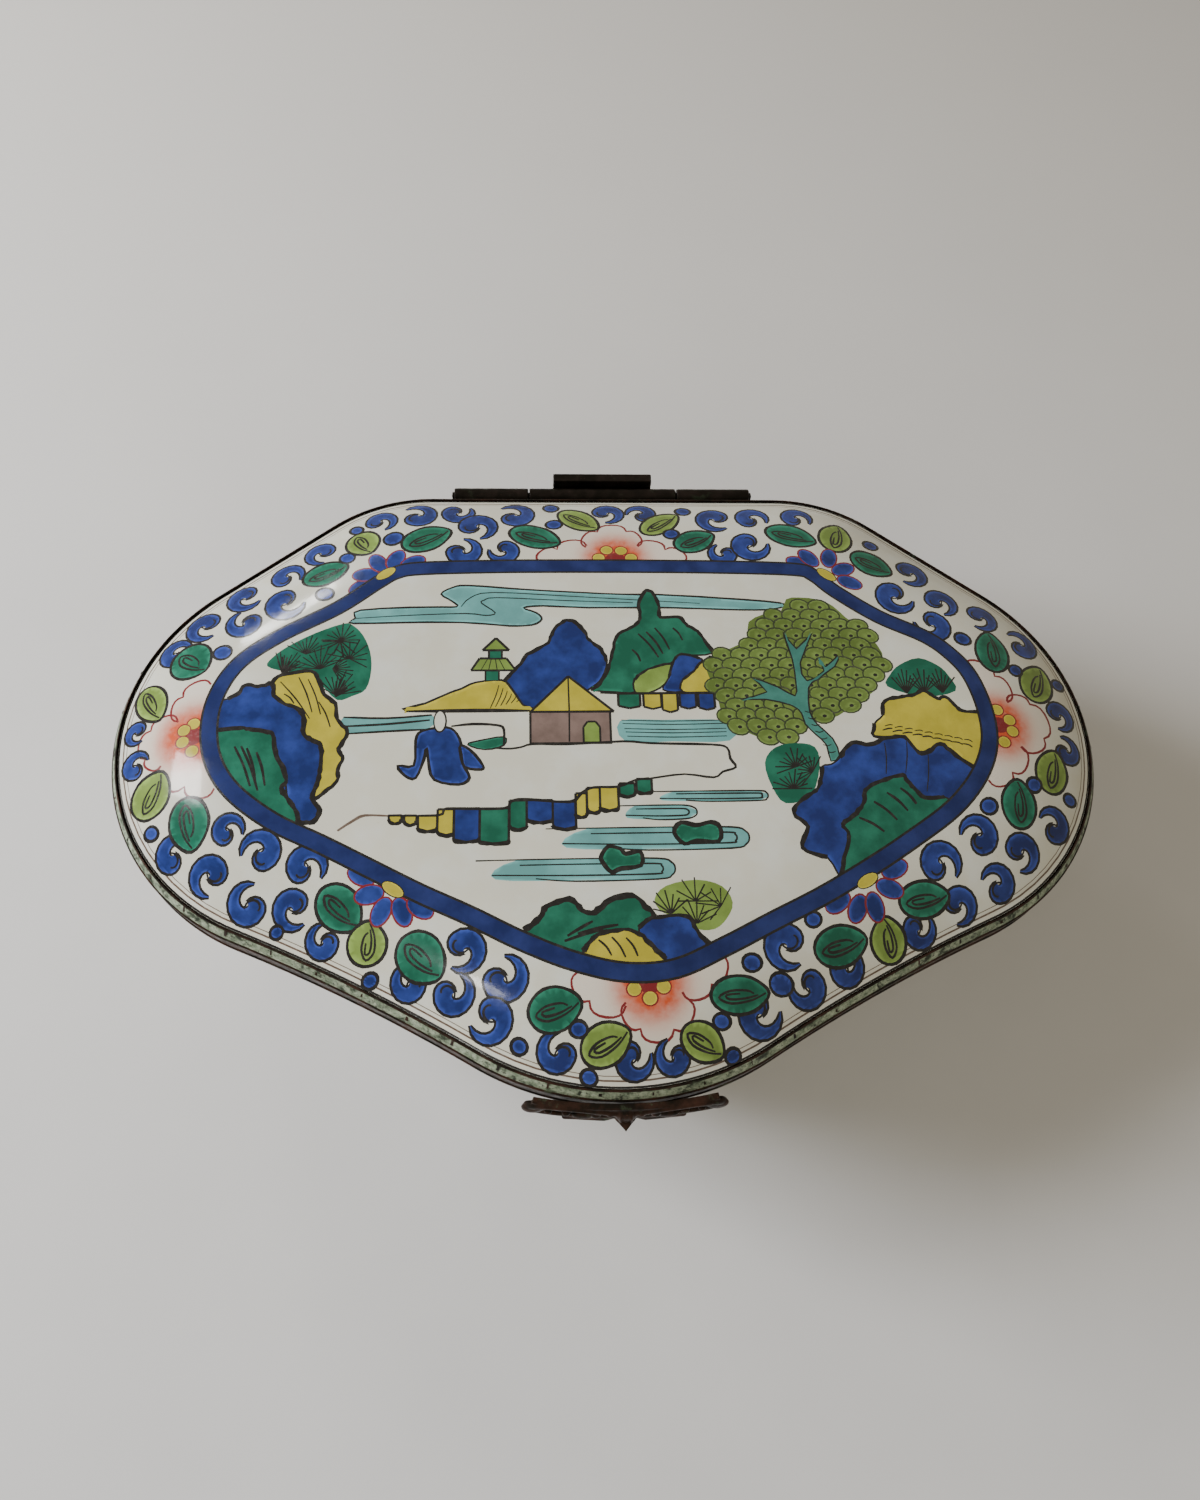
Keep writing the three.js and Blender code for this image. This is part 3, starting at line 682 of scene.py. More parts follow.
def paint_left_rocks(canvas):
    """Pine, yellow, blue and green rocks on the left."""
    canvas.area(((-76, -2), (-64, -3), (-62, -18), (-64, -22), (-70, -14)), "cobalt", 1.0)
    canvas.wash([
        (-74, 13), (-73, 15.3), (-70, 18), (-64.5, 21.2), (-58.6, 23.5), (-56.4, 23), (-54, 20.3),
        (-52.3, 16.2), (-51.8, 11.6), (-52.7, 7), (-55.5, 5.3), (-58.6, 4.4), (-62, 8), (-65, 11),
        (-70, 11.5),
    ], "green")
    for root, reach, start, end in (
        ((-70.5, 11), 6, 25, 110), ((-62.7, 12), 6.2, 25, 175), ((-58.6, 19.2), 4.6, 0, 200),
        ((-66, 15.8), 5, 20, 150), ((-56.6, 14.5), 5.2, -30, 190), ((-59, 5.6), 6.4, 10, 150),
        ((-60, 12), 4.5, -60, 60),
    ):
        needles(canvas, root, reach, start, end, 10)
    for root, start, end in (((-70.5, 10.8), 40, 110), ((-59, 5.2), 30, 90), ((-58.8, 19), 180, 350)):
        needles(canvas, root, 4.6, start, end, 6, 0.42)
    rock(canvas, [
        (-73.4, 7.5), (-72.7, 8.5), (-70.5, 10.7), (-64.5, 11.4), (-62.7, 8.9), (-61.4, 5.7), (-59, 3.5),
        (-58.2, -0.2), (-56, -2.9), (-56.8, -5.2), (-57.5, -7.5), (-56.6, -9.3), (-57.5, -11.5),
        (-57.3, -13.8), (-59, -16), (-61.8, -18.4), (-63, -14), (-63.5, -6), (-67, -2), (-70, 2),
    ], "yellow", [(1, 15)], 0.95)
    rock(canvas, [
        (-81.6, 5.3), (-79.5, 6.6), (-78.2, 8.5), (-75.5, 8), (-72.7, 8.5), (-71.8, 5.7), (-70, 3.9),
        (-66.8, 2.4), (-65.2, 0.5), (-65, -3.6), (-62.7, -5.2), (-61.2, -6.7), (-61, -11), (-61.3, -14.3),
        (-62.2, -17.9), (-60.7, -20.6), (-61.8, -22.9), (-64.5, -23), (-67, -18.5), (-68, -13.8),
        (-70, -8.5), (-72, -3.2), (-76.4, -2.4), (-85.5, -2.2), (-85.5, 0.3), (-85, 4.4),
    ], "cobalt", [(0, 17)], 1.05)
    strokes(canvas, [((-70.8, 9), (-64, 0)), ((-69.8, 6), (-67.5, 3.6)), ((-67, 10), (-63.6, 1.5)),
                     ((-65, 9.5), (-61.8, 1)), ((-62.4, 4), (-59.6, -2))], 0.26)
    rock(canvas, [
        (-85.5, -2), (-78.2, -1.8), (-76.4, -2.2), (-72.3, -3), (-71, -4.3), (-70.5, -7.5), (-69, -10.6),
        (-67.7, -13.8), (-68.6, -15.6), (-67.3, -17.9), (-65.2, -21), (-64.8, -25.2), (-70.5, -22.4),
        (-77.4, -17), (-82.2, -11.8), (-85, -6.5),
    ], "green", [(0, 11)], 1.05)
    strokes(canvas, [((-79, -6), (-75, -15)), ((-76.4, -6.5), (-74, -14)), ((-74.3, -7.5), (-72, -15)),
                     ((-77.6, -6), (-73.4, -16))], 0.45)


def paint_river(canvas):
    """The long turquoise cloud behind the mountains and the strip of water on the left."""
    canvas.rounded([
        (-56, 24.9), (-55, 27), (-40, 27.5), (-34, 27.6), (-35, 29), (-37.5, 31), (-35, 32.8),
        (-31.5, 33.3), (-20, 32.3), (-5, 31.3), (5.5, 30.8), (10.5, 30.8), (25, 29.8), (38, 28.5),
        (38, 27.2), (32, 26.6), (20, 27), (11, 27.3), (-5, 27.3), (-15, 27.8), (-19.3, 27.3), (-16.5, 26),
        (-15.3, 24.3), (-17.5, 22.8), (-22.5, 22.6), (-30, 23.3), (-40, 23.6), (-56.2, 23.5),
    ], "water", 0.5, 0.6)
    canvas.line([(-56, 24.8), (-44, 25.4), (-32, 25.8), (-27.5, 25.3), (-25.5, 26), (-28.5, 28.5),
                 (-28, 29.3), (-25, 30), (-10, 29.2), (5, 28.6)], 0.26)
    canvas.line([(-33, 27.6), (-31, 30), (-26, 31.4), (-8, 30.3), (20, 28.4)], 0.22)
    canvas.wash([(-57, 0.3), (-48, 0.1), (-38.6, 0.7), (-39.5, -2.7), (-48, -2.9), (-56, -3.6)], "water")
    for ends in ([(-57, 0.3), (-48, 0), (-38.6, 0.7)], [(-57.5, -1.9), (-48, -1.4), (-39, -0.5)],
                 [(-56, -3.6), (-48, -3.1), (-39.5, -2.7)]):
        canvas.line(ends, 0.42)
    canvas.wash([(1, -1), (10, -0.8), (24.5, -1.2), (24, -5.8), (12, -5.9), (2, -5.8)], "water")
    for y in (-0.8, -1.6, -2.8, -3.6, -4.6):
        canvas.line([(1 - 0.3 * y, y), (12, y - 0.3), (23.5, y - 0.1)], 0.2)


def paint_mountains(canvas):
    """Blue and green mountains, the quay and the rocks beside it."""
    rock(canvas, [
        (-27, 2), (-25, 6.5), (-22.5, 10), (-20, 13), (-18.5, 15.3), (-14, 18.3), (-13, 21), (-10.5, 23.8),
        (-8, 23.5), (-6, 21), (-5, 19), (-2.5, 16.5), (-1.3, 13.5), (-2.5, 9.5), (-5, 7), (-12, 3),
    ], "cobalt", [(1, 12)], 0.9)
    rock(canvas, [
        (-5, 6.5), (-3, 8), (-1, 12), (0.3, 17), (1.5, 20.5), (5, 22.5), (6.3, 24.5), (6.3, 28), (7.3, 31),
        (8.5, 32), (10, 30.5), (10.8, 27.5), (11, 24.8), (15, 24.9), (16.5, 23), (18.5, 21.5), (20, 19.5),
        (22, 15.5), (15, 14.8), (12.5, 13), (5, 10), (4.5, 6), (0, 6),
    ], "green", [(0, 17)], 0.85)
    strokes(canvas, [((5.8, 20.5), (10, 14.5)), ((9.5, 22), (12.5, 16.5)), ((13.5, 22), (15.5, 18.8)),
                     ((4.3, 16.5), (6, 13.5)), ((7.6, 21), (11, 15.4))], 0.4)
    rock(canvas, [(4.5, 6), (4.5, 9), (7.5, 11.5), (12.5, 13), (12.5, 10), (10, 7), (6.5, 5.5)], "leaf",
         [(1, 3)], 0.6)
    rock(canvas, [
        (10.5, 6.5), (12, 9.5), (13, 13), (15, 15.3), (19.5, 14), (17.5, 10.5), (15, 8.5), (14.5, 6),
    ], "cobalt", [(1, 4)], 0.6)
    rock(canvas, [(14.8, 6), (15, 9), (17.5, 11), (19, 13), (22, 14.5), (21.5, 6)], "yellow", [(1, 4)], 0.6)
    for left, right, foot, pigment in (
        (0.8, 5.5, 2, "green"), (6.2, 10, 1.8, "yellow"), (10.2, 13.5, 1, "yellow"),
        (14, 17.5, 1.8, "cobalt"), (18, 21.5, 1.5, "cobalt"),
    ):
        block(canvas, left, right, 5.6, foot, pigment)
    canvas.line([(-3, 5.8), (8, 5.6), (22, 5.8)], 0.5)


def straight_sided(canvas, corners, pigment, width=0.46):
    """A shape with straight sides and a brush line along each."""
    corners = [Vector(c) for c in corners]
    canvas.enamel(corners, pigment, None, depth=0.4)
    for a, b in zip(corners, corners[1:] + corners[:1]):
        canvas.line([a, b], width, taper=0.8)


def block(canvas, left, right, top, foot, pigment):
    """One stone of a quay, hanging from its top line, with a ragged foot."""
    middle = (left + right) / 2
    straight_sided(canvas, ((left, foot + 0.6), (middle, foot), (right, foot + 0.5), (right, top),
                            (left, top)), pigment)


def paint_village(canvas):
    """Pagoda, yellow hill, hut, shore line and boat."""
    canvas.rounded([(-44, 1.6), (-40, 3.5), (-35, 6), (-32.5, 7), (-29.5, 8.5), (-24, 9), (-22, 7),
                    (-19.5, 3), (-18, 1.6)], "yellow", 0.5, 0.8)
    for k in range(6):
        strokes(canvas, [((-26.4 + 1.1 * k, 2.2 + 0.3 * k), (-24.6 + 0.9 * k, 7.8 - 0.7 * k))], 0.2)
    canvas.area(((-27.7, 9), (-24.4, 9), (-24.4, 11.6), (-27.7, 11.6)), "ink", 1.0)
    canvas.area(((-27.3, 9), (-24.8, 9), (-24.8, 11.6), (-27.3, 11.6)), "green", 1.0)
    straight_sided(canvas, ((-30.6, 11.4), (-21, 11.4), (-23, 14.4), (-28.8, 14.4)), "leaf")
    straight_sided(canvas, ((-26.8, 14.3), (-24, 14.3), (-24, 16.6), (-26.8, 16.6)), "green", 0.4)
    straight_sided(canvas, ((-28.2, 16.4), (-22.4, 16.4), (-25.3, 19.5)), "leaf")
    for x in (-28.4, -26.8, -25, -23.4):
        canvas.line([(x, 11.6), (x * 0.5 - 12.9, 14.2)], 0.22)
    canvas.area(((-18.2, 1.6), (-0.8, 1.6), (-0.8, -6.4), (-18.2, -6.4)), "ink", 1.0)
    canvas.area(((-17.7, 1.4), (-1.3, 1.4), (-1.3, -5.9), (-17.7, -5.9)), "mauve", 1.0)
    straight_sided(canvas, ((-6.8, -6), (-3.3, -6), (-3.3, -2.4), (-4.2, -1.1), (-5.9, -1.1), (-6.8, -2.4)),
                   "leaf", 0.4)
    straight_sided(canvas, ((-17.9, 1.3), (-0.2, 1.3), (-9.8, 9.9)), "yellow")
    canvas.line([(-9.8, 9.6), (-9.7, 1.4)], 0.4)
    canvas.line([(-9.7, 1.2), (-9.8, -5.8)], 0.4)
    canvas.line([
        (-31, -6.3), (-23.5, -7.3), (-20, -7), (-17.5, -6.3), (-10, -6.4), (1.5, -5.8), (7.5, -6.3),
        (20, -6.7), (23.3, -7.5), (23.8, -10), (24.8, -12), (22, -13), (20, -14.3), (14, -13.5),
        (7.5, -14.3), (3.5, -15),
    ], 0.44)
    canvas.rounded([
        (-31, -6.3), (-29, -5.5), (-23.5, -4.5), (-23.5, -6.5), (-27.5, -7.5),
    ], "green", 0.35, 0.4)
    canvas.line([(-34.5, -2), (-30, -1.5), (-25, -1.8), (-23.5, -2.8), (-23.5, -6.5)], 0.48)
    canvas.line([(-44, 1.6), (-30, 1.9), (-18, 1.6)], 0.46)


def paint_traveller(canvas):
    """A small generic walker in a blue robe, the head a blank oval."""
    canvas.rounded([
        (-40.5, -3), (-41.8, -5.2), (-42, -11), (-45.2, -11), (-43.6, -13.4), (-41.4, -13.8), (-40, -9.7),
        (-39.5, -7), (-39, -10.2), (-37.7, -14.3), (-32.7, -15.4), (-30.5, -13.8), (-31.8, -11),
        (-32, -7.7), (-33.2, -3.8), (-35.5, -2.2),
    ], "cobalt", depth=0.6)
    canvas.rounded([
        (-32.5, -6.5), (-30.5, -7.5), (-27.8, -11), (-28, -12), (-31.5, -11.5), (-32.3, -8.5),
    ], "cobalt", depth=0.5)
    canvas.enamel(oval(-36.9, -0.8, 1.3, 2.5, 0, 16), "glaze", width=0.35, depth=0.3)


CAUSEWAY = [
    (-46.6, -44, -23.8, "yellow"), (-43.5, -41, -24.2, "yellow"), (-40.7, -36.8, -25.6, "yellow"),
    (-36.8, -33.2, -26.5, "yellow"), (-33.5, -28.3, -28, "cobalt"), (-28.3, -22.4, -28.5, "green"),
    (-22.3, -18.8, -25.5, "green"), (-18.8, -13.5, -24, "cobalt"), (-13.5, -8.8, -25.5, "cobalt"),
    (-8.8, -6.5, -23, "yellow"), (-6.5, -3.8, -22, "yellow"), (-3.8, 0, -21.5, "yellow"),
    (0.2, 3.5, -18.5, "green"), (3.8, 7, -17.8, "green"),
]
CAUSEWAY_TOP = [
    (-46.8, -22), (-36.8, -22.2), (-35.5, -20.9), (-33.5, -20.7), (-23.5, -20.8), (-22, -19.3),
    (-19, -18.8), (-10, -19.5), (-7.5, -17.5), (-5, -16.3), (0, -16.2), (3.5, -14.8), (6.5, -14.3),
]


def paint_causeway(canvas):
    """The stone causeway, its blocks hanging from one line."""
    for left, right, foot, pigment in CAUSEWAY:
        middle = (left + right) / 2
        top = float(np.interp(middle, [p[0] for p in CAUSEWAY_TOP], [p[1] for p in CAUSEWAY_TOP]))
        block(canvas, left, right, top, foot, pigment)
        canvas.rock_edge([(left - 0.1, foot + 0.9), (left + 0.4, foot + 0.1), (middle, foot - 0.1),
                          (right - 0.3, foot + 0.1), (right, foot + 0.9)], 0.75)
    canvas.line(CAUSEWAY_TOP, 0.5)
    canvas.line([(-56.8, -25), (-53.6, -22.9), (-51.4, -21.9), (-46.8, -22.1)], 0.44, "rust")


def ripple(canvas, left, right, top, low):
    """A pale strip of water with thin lines that turn back round its right end."""
    middle, span = (top + low) / 2, right - left
    tall = abs(top - low) / 2
    canvas.area(smooth([(left + span * 0.2, middle + tall * 0.95), (left + span * 0.6, middle + tall),
                        (right - 2.5, middle + tall * 0.95), (right, middle), (right - 2.5, middle - tall),
                        (left + span * 0.6, middle - tall), (left + span * 0.1, middle - tall * 0.8)], True,
                       4), "water", 0.1)
    for share, begin in ((1.0, 0.0), (0.5, 0.22)):
        tip = right - (1 - share) * tall * 2.2
        high = tall * share
        canvas.line([
            (left + span * begin, middle + high), (left + span * 0.55, middle + high * 1.05),
            (tip - high * 1.6, middle + high), (tip - high * 0.3, middle + high * 0.6), (tip, middle),
            (tip - high * 0.3, middle - high * 0.6), (tip - high * 1.6, middle - high),
            (left + span * 0.5, middle - high * 1.1), (left + span * (0.3 - begin), middle - high * 0.8),
        ], 0.32, "ink", 0.3, 4)


def paint_ripples(canvas):
    """Ripples with their two stones."""
    ripple(canvas, 6.5, 31, -17.4, -19.6)
    ripple(canvas, 0, 16, -20.5, -23.5)
    ripple(canvas, -15, 26.3, -25.4, -30)
    ripple(canvas, -29, 10.8, -32, -36.4)
    for outline in ([(11, -26.5), (12.5, -24.3), (15.5, -25), (18.5, -24.3), (20.5, -25.5), (20, -28.5),
                     (15.5, -28.3), (13, -29)],
                    [(-4, -31.5), (-2.5, -29.3), (0, -29.8), (1, -31), (4, -30.5), (4, -33.5), (0, -34),
                     (-2, -34.8), (-3.5, -33)]):
        canvas.rounded(outline, "green", 0.95, 0.6)


FOLIAGE = [
    (20.3, 11), (22.5, 14), (25, 16.3), (28.5, 18), (30, 20), (30.5, 23.5), (34, 25.5), (38, 26.3),
    (39.5, 29.5), (42.5, 30), (47, 29.5), (50, 27.8), (52.5, 24.8), (55, 22.5), (57.5, 19.5), (59.5, 15.5),
    (59, 11), (57, 8), (56, 5.5), (51.5, 2.5), (48, 0), (45, -0.8), (42, 1), (40, -1.5), (40.5, -3.5),
    (37.5, -5), (30, -5), (27, -3), (24, -1.5), (22.5, 2), (22, 6),
]
TRUNK = [
    (45, -10.8), (44.5, -7), (42.5, -4.5), (40.5, -2), (40, 0.5), (38, 2.5), (32.5, 4), (27, 4), (33, 5.8),
    (30, 9.3), (35.5, 7), (39, 4.8), (39.5, 8), (39.3, 14), (38, 21), (40.5, 16.5), (44.5, 20.8), (41, 13),
    (42, 8.5), (46, 11), (45, 14), (46.5, 12), (49.5, 14.8), (48.5, 12), (43, 8), (42, 5.5), (41.8, 1),
    (43, -2), (46, -5.5), (47, -9.5),
]


def inside(point, outline):
    """Whether a point lies within an outline."""
    found = False
    for a, b in zip(outline, outline[1:] + outline[:1]):
        if (a[1] > point[1]) != (b[1] > point[1]):
            if point[0] < a[0] + (point[1] - a[1]) * (b[0] - a[0]) / (b[1] - a[1]):
                found = not found
    return found


def paint_tree(canvas):
    """A leafy tree: rows of scale-like leaves, each with its dot, and a turquoise trunk."""
    across, up = 4.1, 2.5
    rows = int((31 + 6) / up)
    canvas.area(smooth(FOLIAGE, True, 2), "foliage", 1.0)
    for row in range(rows, -1, -1):
        y = -5 + row * up
        for col in range(11):
            x = 20 + col * across + (across / 2 if row % 2 else 0)
            if not inside((x, y), FOLIAGE):
                continue
            turn = 18 * math.sin(x * 1.7 + y)
            canvas.enamel(oval(x, y, across * 0.6, up * 0.76, turn - 10, 14), "foliage", "olive", 0.36, 0.5)
            canvas.area(oval(x + 0.3, y - 0.1, 0.5, 0.4, 0, 7), "ink")
    canvas.enamel(smooth(TRUNK, True, 2), "jade", width=0.36, depth=0.3)
    for k in range(7):
        y = -8.5 + 1.6 * k
        x = 45.4 - 0.75 * k + (0.02 * k**2)
        canvas.line([(x - 0.9, y), (x, y - 0.3), (x + 0.9, y)], 0.2)
    canvas.wash([(31, -11), (33.5, -7.5), (38, -6.5), (42, -7.5), (42.5, -12), (40, -18.5), (34.5, -20.3),
                 (32, -16.5)], "green")
    for root, start, end in (((37.5, -12), 20, 200), ((36.5, -17), 0, 180), ((41, -13), 60, 230)):
        needles(canvas, root, 4.6, start, end, 10, 0.34)


def paint_right_rocks(canvas):
    """Shrub, yellow, blue and green rocks on the right."""
    canvas.wash([
        (59.5, 7), (60.5, 10), (63, 12.5), (67.5, 14.3), (71.5, 12.5), (73.5, 10), (74.5, 6), (67, 4.5),
    ], "green")
    for root, start, end in (((67.5, 5.5), 40, 140), ((63.5, 5.3), 50, 125), ((71.5, 5.5), 50, 130)):
        needles(canvas, root, 6.2, start, end, 8, 0.36)
    rock(canvas, [
        (57.5, 0), (58.5, 3.5), (62.5, 4.5), (65, 5), (67.5, 6), (70, 4), (72, 4.5), (74, 2), (75.5, 1),
        (80.3, 0.9), (81, -4.5), (79.6, -10), (76.5, -14.2), (73, -10), (70, -7.5), (66.5, -8.5), (64, -9),
        (62, -5.5), (60, -5.3), (55, -5), (55.5, -2),
    ], "yellow", [(0, 9), (17, 20)], 0.9)
    for k in range(9):
        x = 57 + 2.1 * k
        strokes(canvas, [((x, -3.6 - 0.4 * k), (x + 2.2, -3.2 - 0.55 * k))], 0.28)
        strokes(canvas, [((x + 0.6, -2.6 - 0.4 * k), (x + 2.4, -2.4 - 0.5 * k))], 0.2)
    rock(canvas, [
        (47, -10), (50, -6.5), (54, -7), (57.5, -5.5), (61.5, -5.3), (64, -9), (66.5, -8.5), (69, -7),
        (72, -9.5), (76.8, -13.2), (75.6, -16.2), (71, -20.6), (66, -23.6), (58, -27), (50, -31.5),
        (46, -35.6), (44.5, -36.4), (42, -32), (37, -30), (38.5, -25.5), (36, -22.5), (38, -19.5),
        (41, -17.5), (42.5, -15), (43, -12), (45, -11.5),
    ], "cobalt", [(0, 9), (17, 24)], 1.0)
    rock(canvas, [
        (69.5, -21.5), (68.2, -18.9), (64, -19), (62, -17), (60.5, -15), (60, -14), (55, -15.5),
        (51.5, -17.5), (51, -20), (49, -22.5), (46, -25), (47, -27.5), (45.5, -32), (44.5, -36.4),
        (51, -32.6), (61, -27),
    ], "green", [(1, 13)], 0.95)
    strokes(canvas, [((49.5, -23.5), (54.5, -26.5)), ((53, -20), (57.5, -24)), ((56, -18), (60, -22)),
                     ((59, -17), (62, -20.5))], 0.5)
    strokes(canvas, [
        ((61.8, -6.2), (60.6, -13.6)), ((57, -6.6), (56.4, -13.8)), ((66, -9.4), (64.6, -17.8)),
    ], 0.2)


def paint_front_rocks(canvas):
    """Light needle bush, green, yellow and blue rocks at the front."""
    canvas.wash([(6.3, -40.6), (8.8, -37.8), (15, -36.6), (20, -38), (21.9, -41.3), (20.6, -44.4),
                 (18, -46.6), (14.4, -46.6), (12.5, -44.4), (8, -43.4)], "leaf")
    for root, start, end in (
        ((9.5, -43.5), 40, 165), ((14.5, -45.5), 25, 150), ((19.5, -42), 60, 230), ((14.5, -41), 0, 180),
    ):
        needles(canvas, root, 5.2, start, end, 7, 0.34)
    rock(canvas, [
        (-19.4, -46.3), (-16.3, -43.8), (-15, -41.6), (-10.6, -40.3), (-8, -42.5), (-5.6, -43),
        (-2.5, -40.6), (1.9, -39.7), (4.4, -41.9), (6.3, -44), (3, -47.5), (-5, -49.5), (-8, -53),
        (-12.5, -51.4), (-18.5, -48.6),
    ], "green", [(0, 9)], 1.2)
    strokes(canvas, [
        ((-4, -46.4), (-11.6, -48.6)), ((-1, -45.6), (-9, -47.2)), ((-6, -44.8), (-11, -47.6)),
    ], 0.5)
    rock(canvas, [
        (3, -46.3), (5.6, -44.4), (12.5, -44), (14.4, -46.9), (17.4, -50.6), (8.8, -54.2), (4, -50),
    ], "cobalt", [(0, 4)], 0.95)
    rock(canvas, [
        (-8, -50.6), (-5, -47.5), (0, -46.6), (3, -47.5), (5.6, -50), (8, -52.4), (2.5, -55.2), (-5, -54.2),
    ], "yellow", [(0, 5)], 1.0)
    strokes(canvas, [((-5, -48.5), (-2.5, -51.6)), ((-2.4, -48), (0.2, -52)), ((0.4, -48.2), (2.6, -51.8))],
            0.36)


# In painter's order, the later parts on top
PICTURE = (paint_ground, paint_river, paint_mountains, paint_village, paint_traveller, paint_causeway,
           paint_ripples, paint_tree, paint_left_rocks, paint_right_rocks, paint_front_rocks)


# Materials

class Shader:
    """A material built up node by node. Distances in its noises are millimetres."""

    def __init__(self, name):
        self.material = bpy.data.materials.new(name)
        self.material.use_nodes = True
        self.tree = self.material.node_tree
        self.tree.nodes.clear()
        self.output = self.node("ShaderNodeOutputMaterial")
        self.base = self.node("ShaderNodeBsdfPrincipled")
        self.join(self.base.outputs["BSDF"], self.output.inputs["Surface"])
        self.place = self.node("ShaderNodeTexCoord").outputs["Object"]

    def node(self, kind, **settings):
        made = self.tree.nodes.new(kind)
        for key, value in settings.items():
            setattr(made, key, value)
        return made

    def join(self, start, end):
        self.tree.links.new(start, end)

    def noise(self, size_mm, detail=3.0, roughness=0.55):
        made = self.node("ShaderNodeTexNoise")
        made.inputs["Scale"].default_value = 1 / (size_mm * MM)
        made.inputs["Detail"].default_value = detail
        made.inputs["Roughness"].default_value = roughness
        self.join(self.place, made.inputs["Vector"])
        return made.outputs["Fac"]

    def attribute(self, name):
        return self.node("ShaderNodeAttribute", attribute_name=name).outputs["Fac"]

    def spread(self, value, low, high, start=0.0, end=1.0):
        """Maps a range of a value onto another, clamped."""
        made = self.node("ShaderNodeMapRange")
        for key, number in (("From Min", low), ("From Max", high), ("To Min", start), ("To Max", end)):
            made.inputs[key].default_value = number
        self.join(value, made.inputs["Value"])
        return made.outputs["Result"]

    def math(self, operation, a, b):
        made = self.node("ShaderNodeMath", operation=operation, use_clamp=True)
        for socket, value in zip(made.inputs, (a, b)):
            if isinstance(value, (int, float)):
                socket.default_value = value
            else:
                self.join(value, socket)
        return made.outputs[0]

    def mix(self, factor, a, b):
        """Blends two colours, each a tuple or a socket."""
        made = self.node("ShaderNodeMix", data_type="RGBA")
        self.join(factor, made.inputs["Factor"])
        for key, value in ((6, a), (7, b)):
            if isinstance(value, tuple):
                made.inputs[key].default_value = (*value, 1)
            else:
                self.join(value, made.inputs[key])
        return made.outputs[2]

    def bump(self, height, depth_mm, strength=0.5):
        made = self.node("ShaderNodeBump")
        made.inputs["Distance"].default_value = depth_mm * MM
        made.inputs["Strength"].default_value = strength
        self.join(height, made.inputs["Height"])
        self.join(made.outputs["Normal"], self.base.inputs["Normal"])

    def finish(self, colour, roughness, **constants):
        self.join(colour, self.base.inputs["Base Color"])
        self.join(roughness, self.base.inputs["Roughness"])
        for key, value in constants.items():
            self.base.inputs[key.replace("_", " ")].default_value = value
        return self.material


def shade(colour, factor):
    return tuple(min(1.0, c * factor) for c in colour)


def toward(colour, other, share):
    return tuple(a + (b - a) * share for a, b in zip(colour, other))


WHITE = (0.8, 0.8, 0.78)
COOL_WHITE = (0.62, 0.68, 0.69)
BROWN_SPECK = (0.36, 0.27, 0.17)
PETAL_PINK = (0.74, 0.50, 0.42)
IRON_WASH = (0.47, 0.062, 0.016)
DRY_LINE = (0.30, 0.25, 0.20)
CHALK = (0.55, 0.58, 0.42)
GREEN_BLACK = (0.02, 0.045, 0.02)
COPPER_RUB = (0.062, 0.027, 0.017)
# Rub colour of the hinge's darkened metal, part of its painted shade
HINGE_SHADE_RUB = (0.022, 0.014, 0.011)
BRIGHT_COPPER = (0.19, 0.10, 0.065)
BROWN_LINE = (0.10, 0.065, 0.045)
OLIVE_LINE = (0.022, 0.030, 0.012)


def enamel_material(name, colour, lift, cloud):
    """Glassy enamel, lighter where it lies thin at its edge and cloudy within. Lift is how much lighter."""
    shader = Shader(name)
    colour = tuple(colour)
    thin = toward(shade(colour, lift), WHITE, 0.02)
    pool = shader.attribute("core")
    cloudy = shader.spread(shader.noise(cloud, 4), 0.32, 0.68)
    thickness = shader.math("ADD", shader.math("MULTIPLY", pool, 0.6), shader.math("MULTIPLY", cloudy, 0.5))
    body = shader.mix(thickness, thin, shade(colour, 0.72))
    speck = shader.spread(shader.noise(0.5, 2), 0.62, 0.75, 0.0, 0.3)
    tinted = shader.mix(speck, body, shade(colour, 0.55))
    shader.bump(shader.noise(1.1, 3), 0.02, 0.35)
    return shader.finish(tinted, shader.spread(shader.noise(3, 3), 0.3, 0.7, 0.09, 0.21),
                         Coat_Weight=0.25, Coat_Roughness=0.05, Specular_IOR_Level=0.42)


def glaze_material(name, colour):
    """Ivory porcelain glaze with a faint unevenness, small pits and brown specks."""
    shader = Shader(name)
    colour = tuple(colour)
    broad = shader.spread(shader.noise(28, 4), 0.3, 0.7)
    tone = shader.mix(broad, shade(colour, 0.95), shade(colour, 1.04))
    cool = shader.mix(shader.spread(shader.noise(7, 3), 0.45, 0.75, 0, 0.4), tone,
                      toward(colour, COOL_WHITE, 0.5))
    pits = shader.spread(shader.noise(0.55, 1), 0.76, 0.82, 0.0, 0.45)
    speckled = shader.mix(pits, cool, BROWN_SPECK)
    shader.bump(shader.noise(2.4, 3), 0.03, 0.3)
    return shader.finish(speckled, shader.spread(shader.noise(4, 3), 0.3, 0.7, 0.09, 0.17),
                         Coat_Weight=0.3, Coat_Roughness=0.04, Specular_IOR_Level=0.45)


def petal_material(name, glaze):
    """White petal with an iron-red wash that fades away from its heart."""
    shader = Shader(name)
    wash = shader.attribute("wash")
    brushed = shader.math("MULTIPLY", wash, shader.spread(shader.noise(1.6, 4), 0.2, 0.8, 0.8, 1.25))
    faint = shader.mix(brushed, toward(tuple(glaze), PETAL_PINK, 0.2), IRON_WASH)
    shader.bump(shader.noise(1.2, 3), 0.02, 0.3)
    return shader.finish(faint, shader.spread(shader.noise(3, 3), 0.3, 0.7, 0.1, 0.2), Coat_Weight=0.5,
                         Coat_Roughness=0.05)


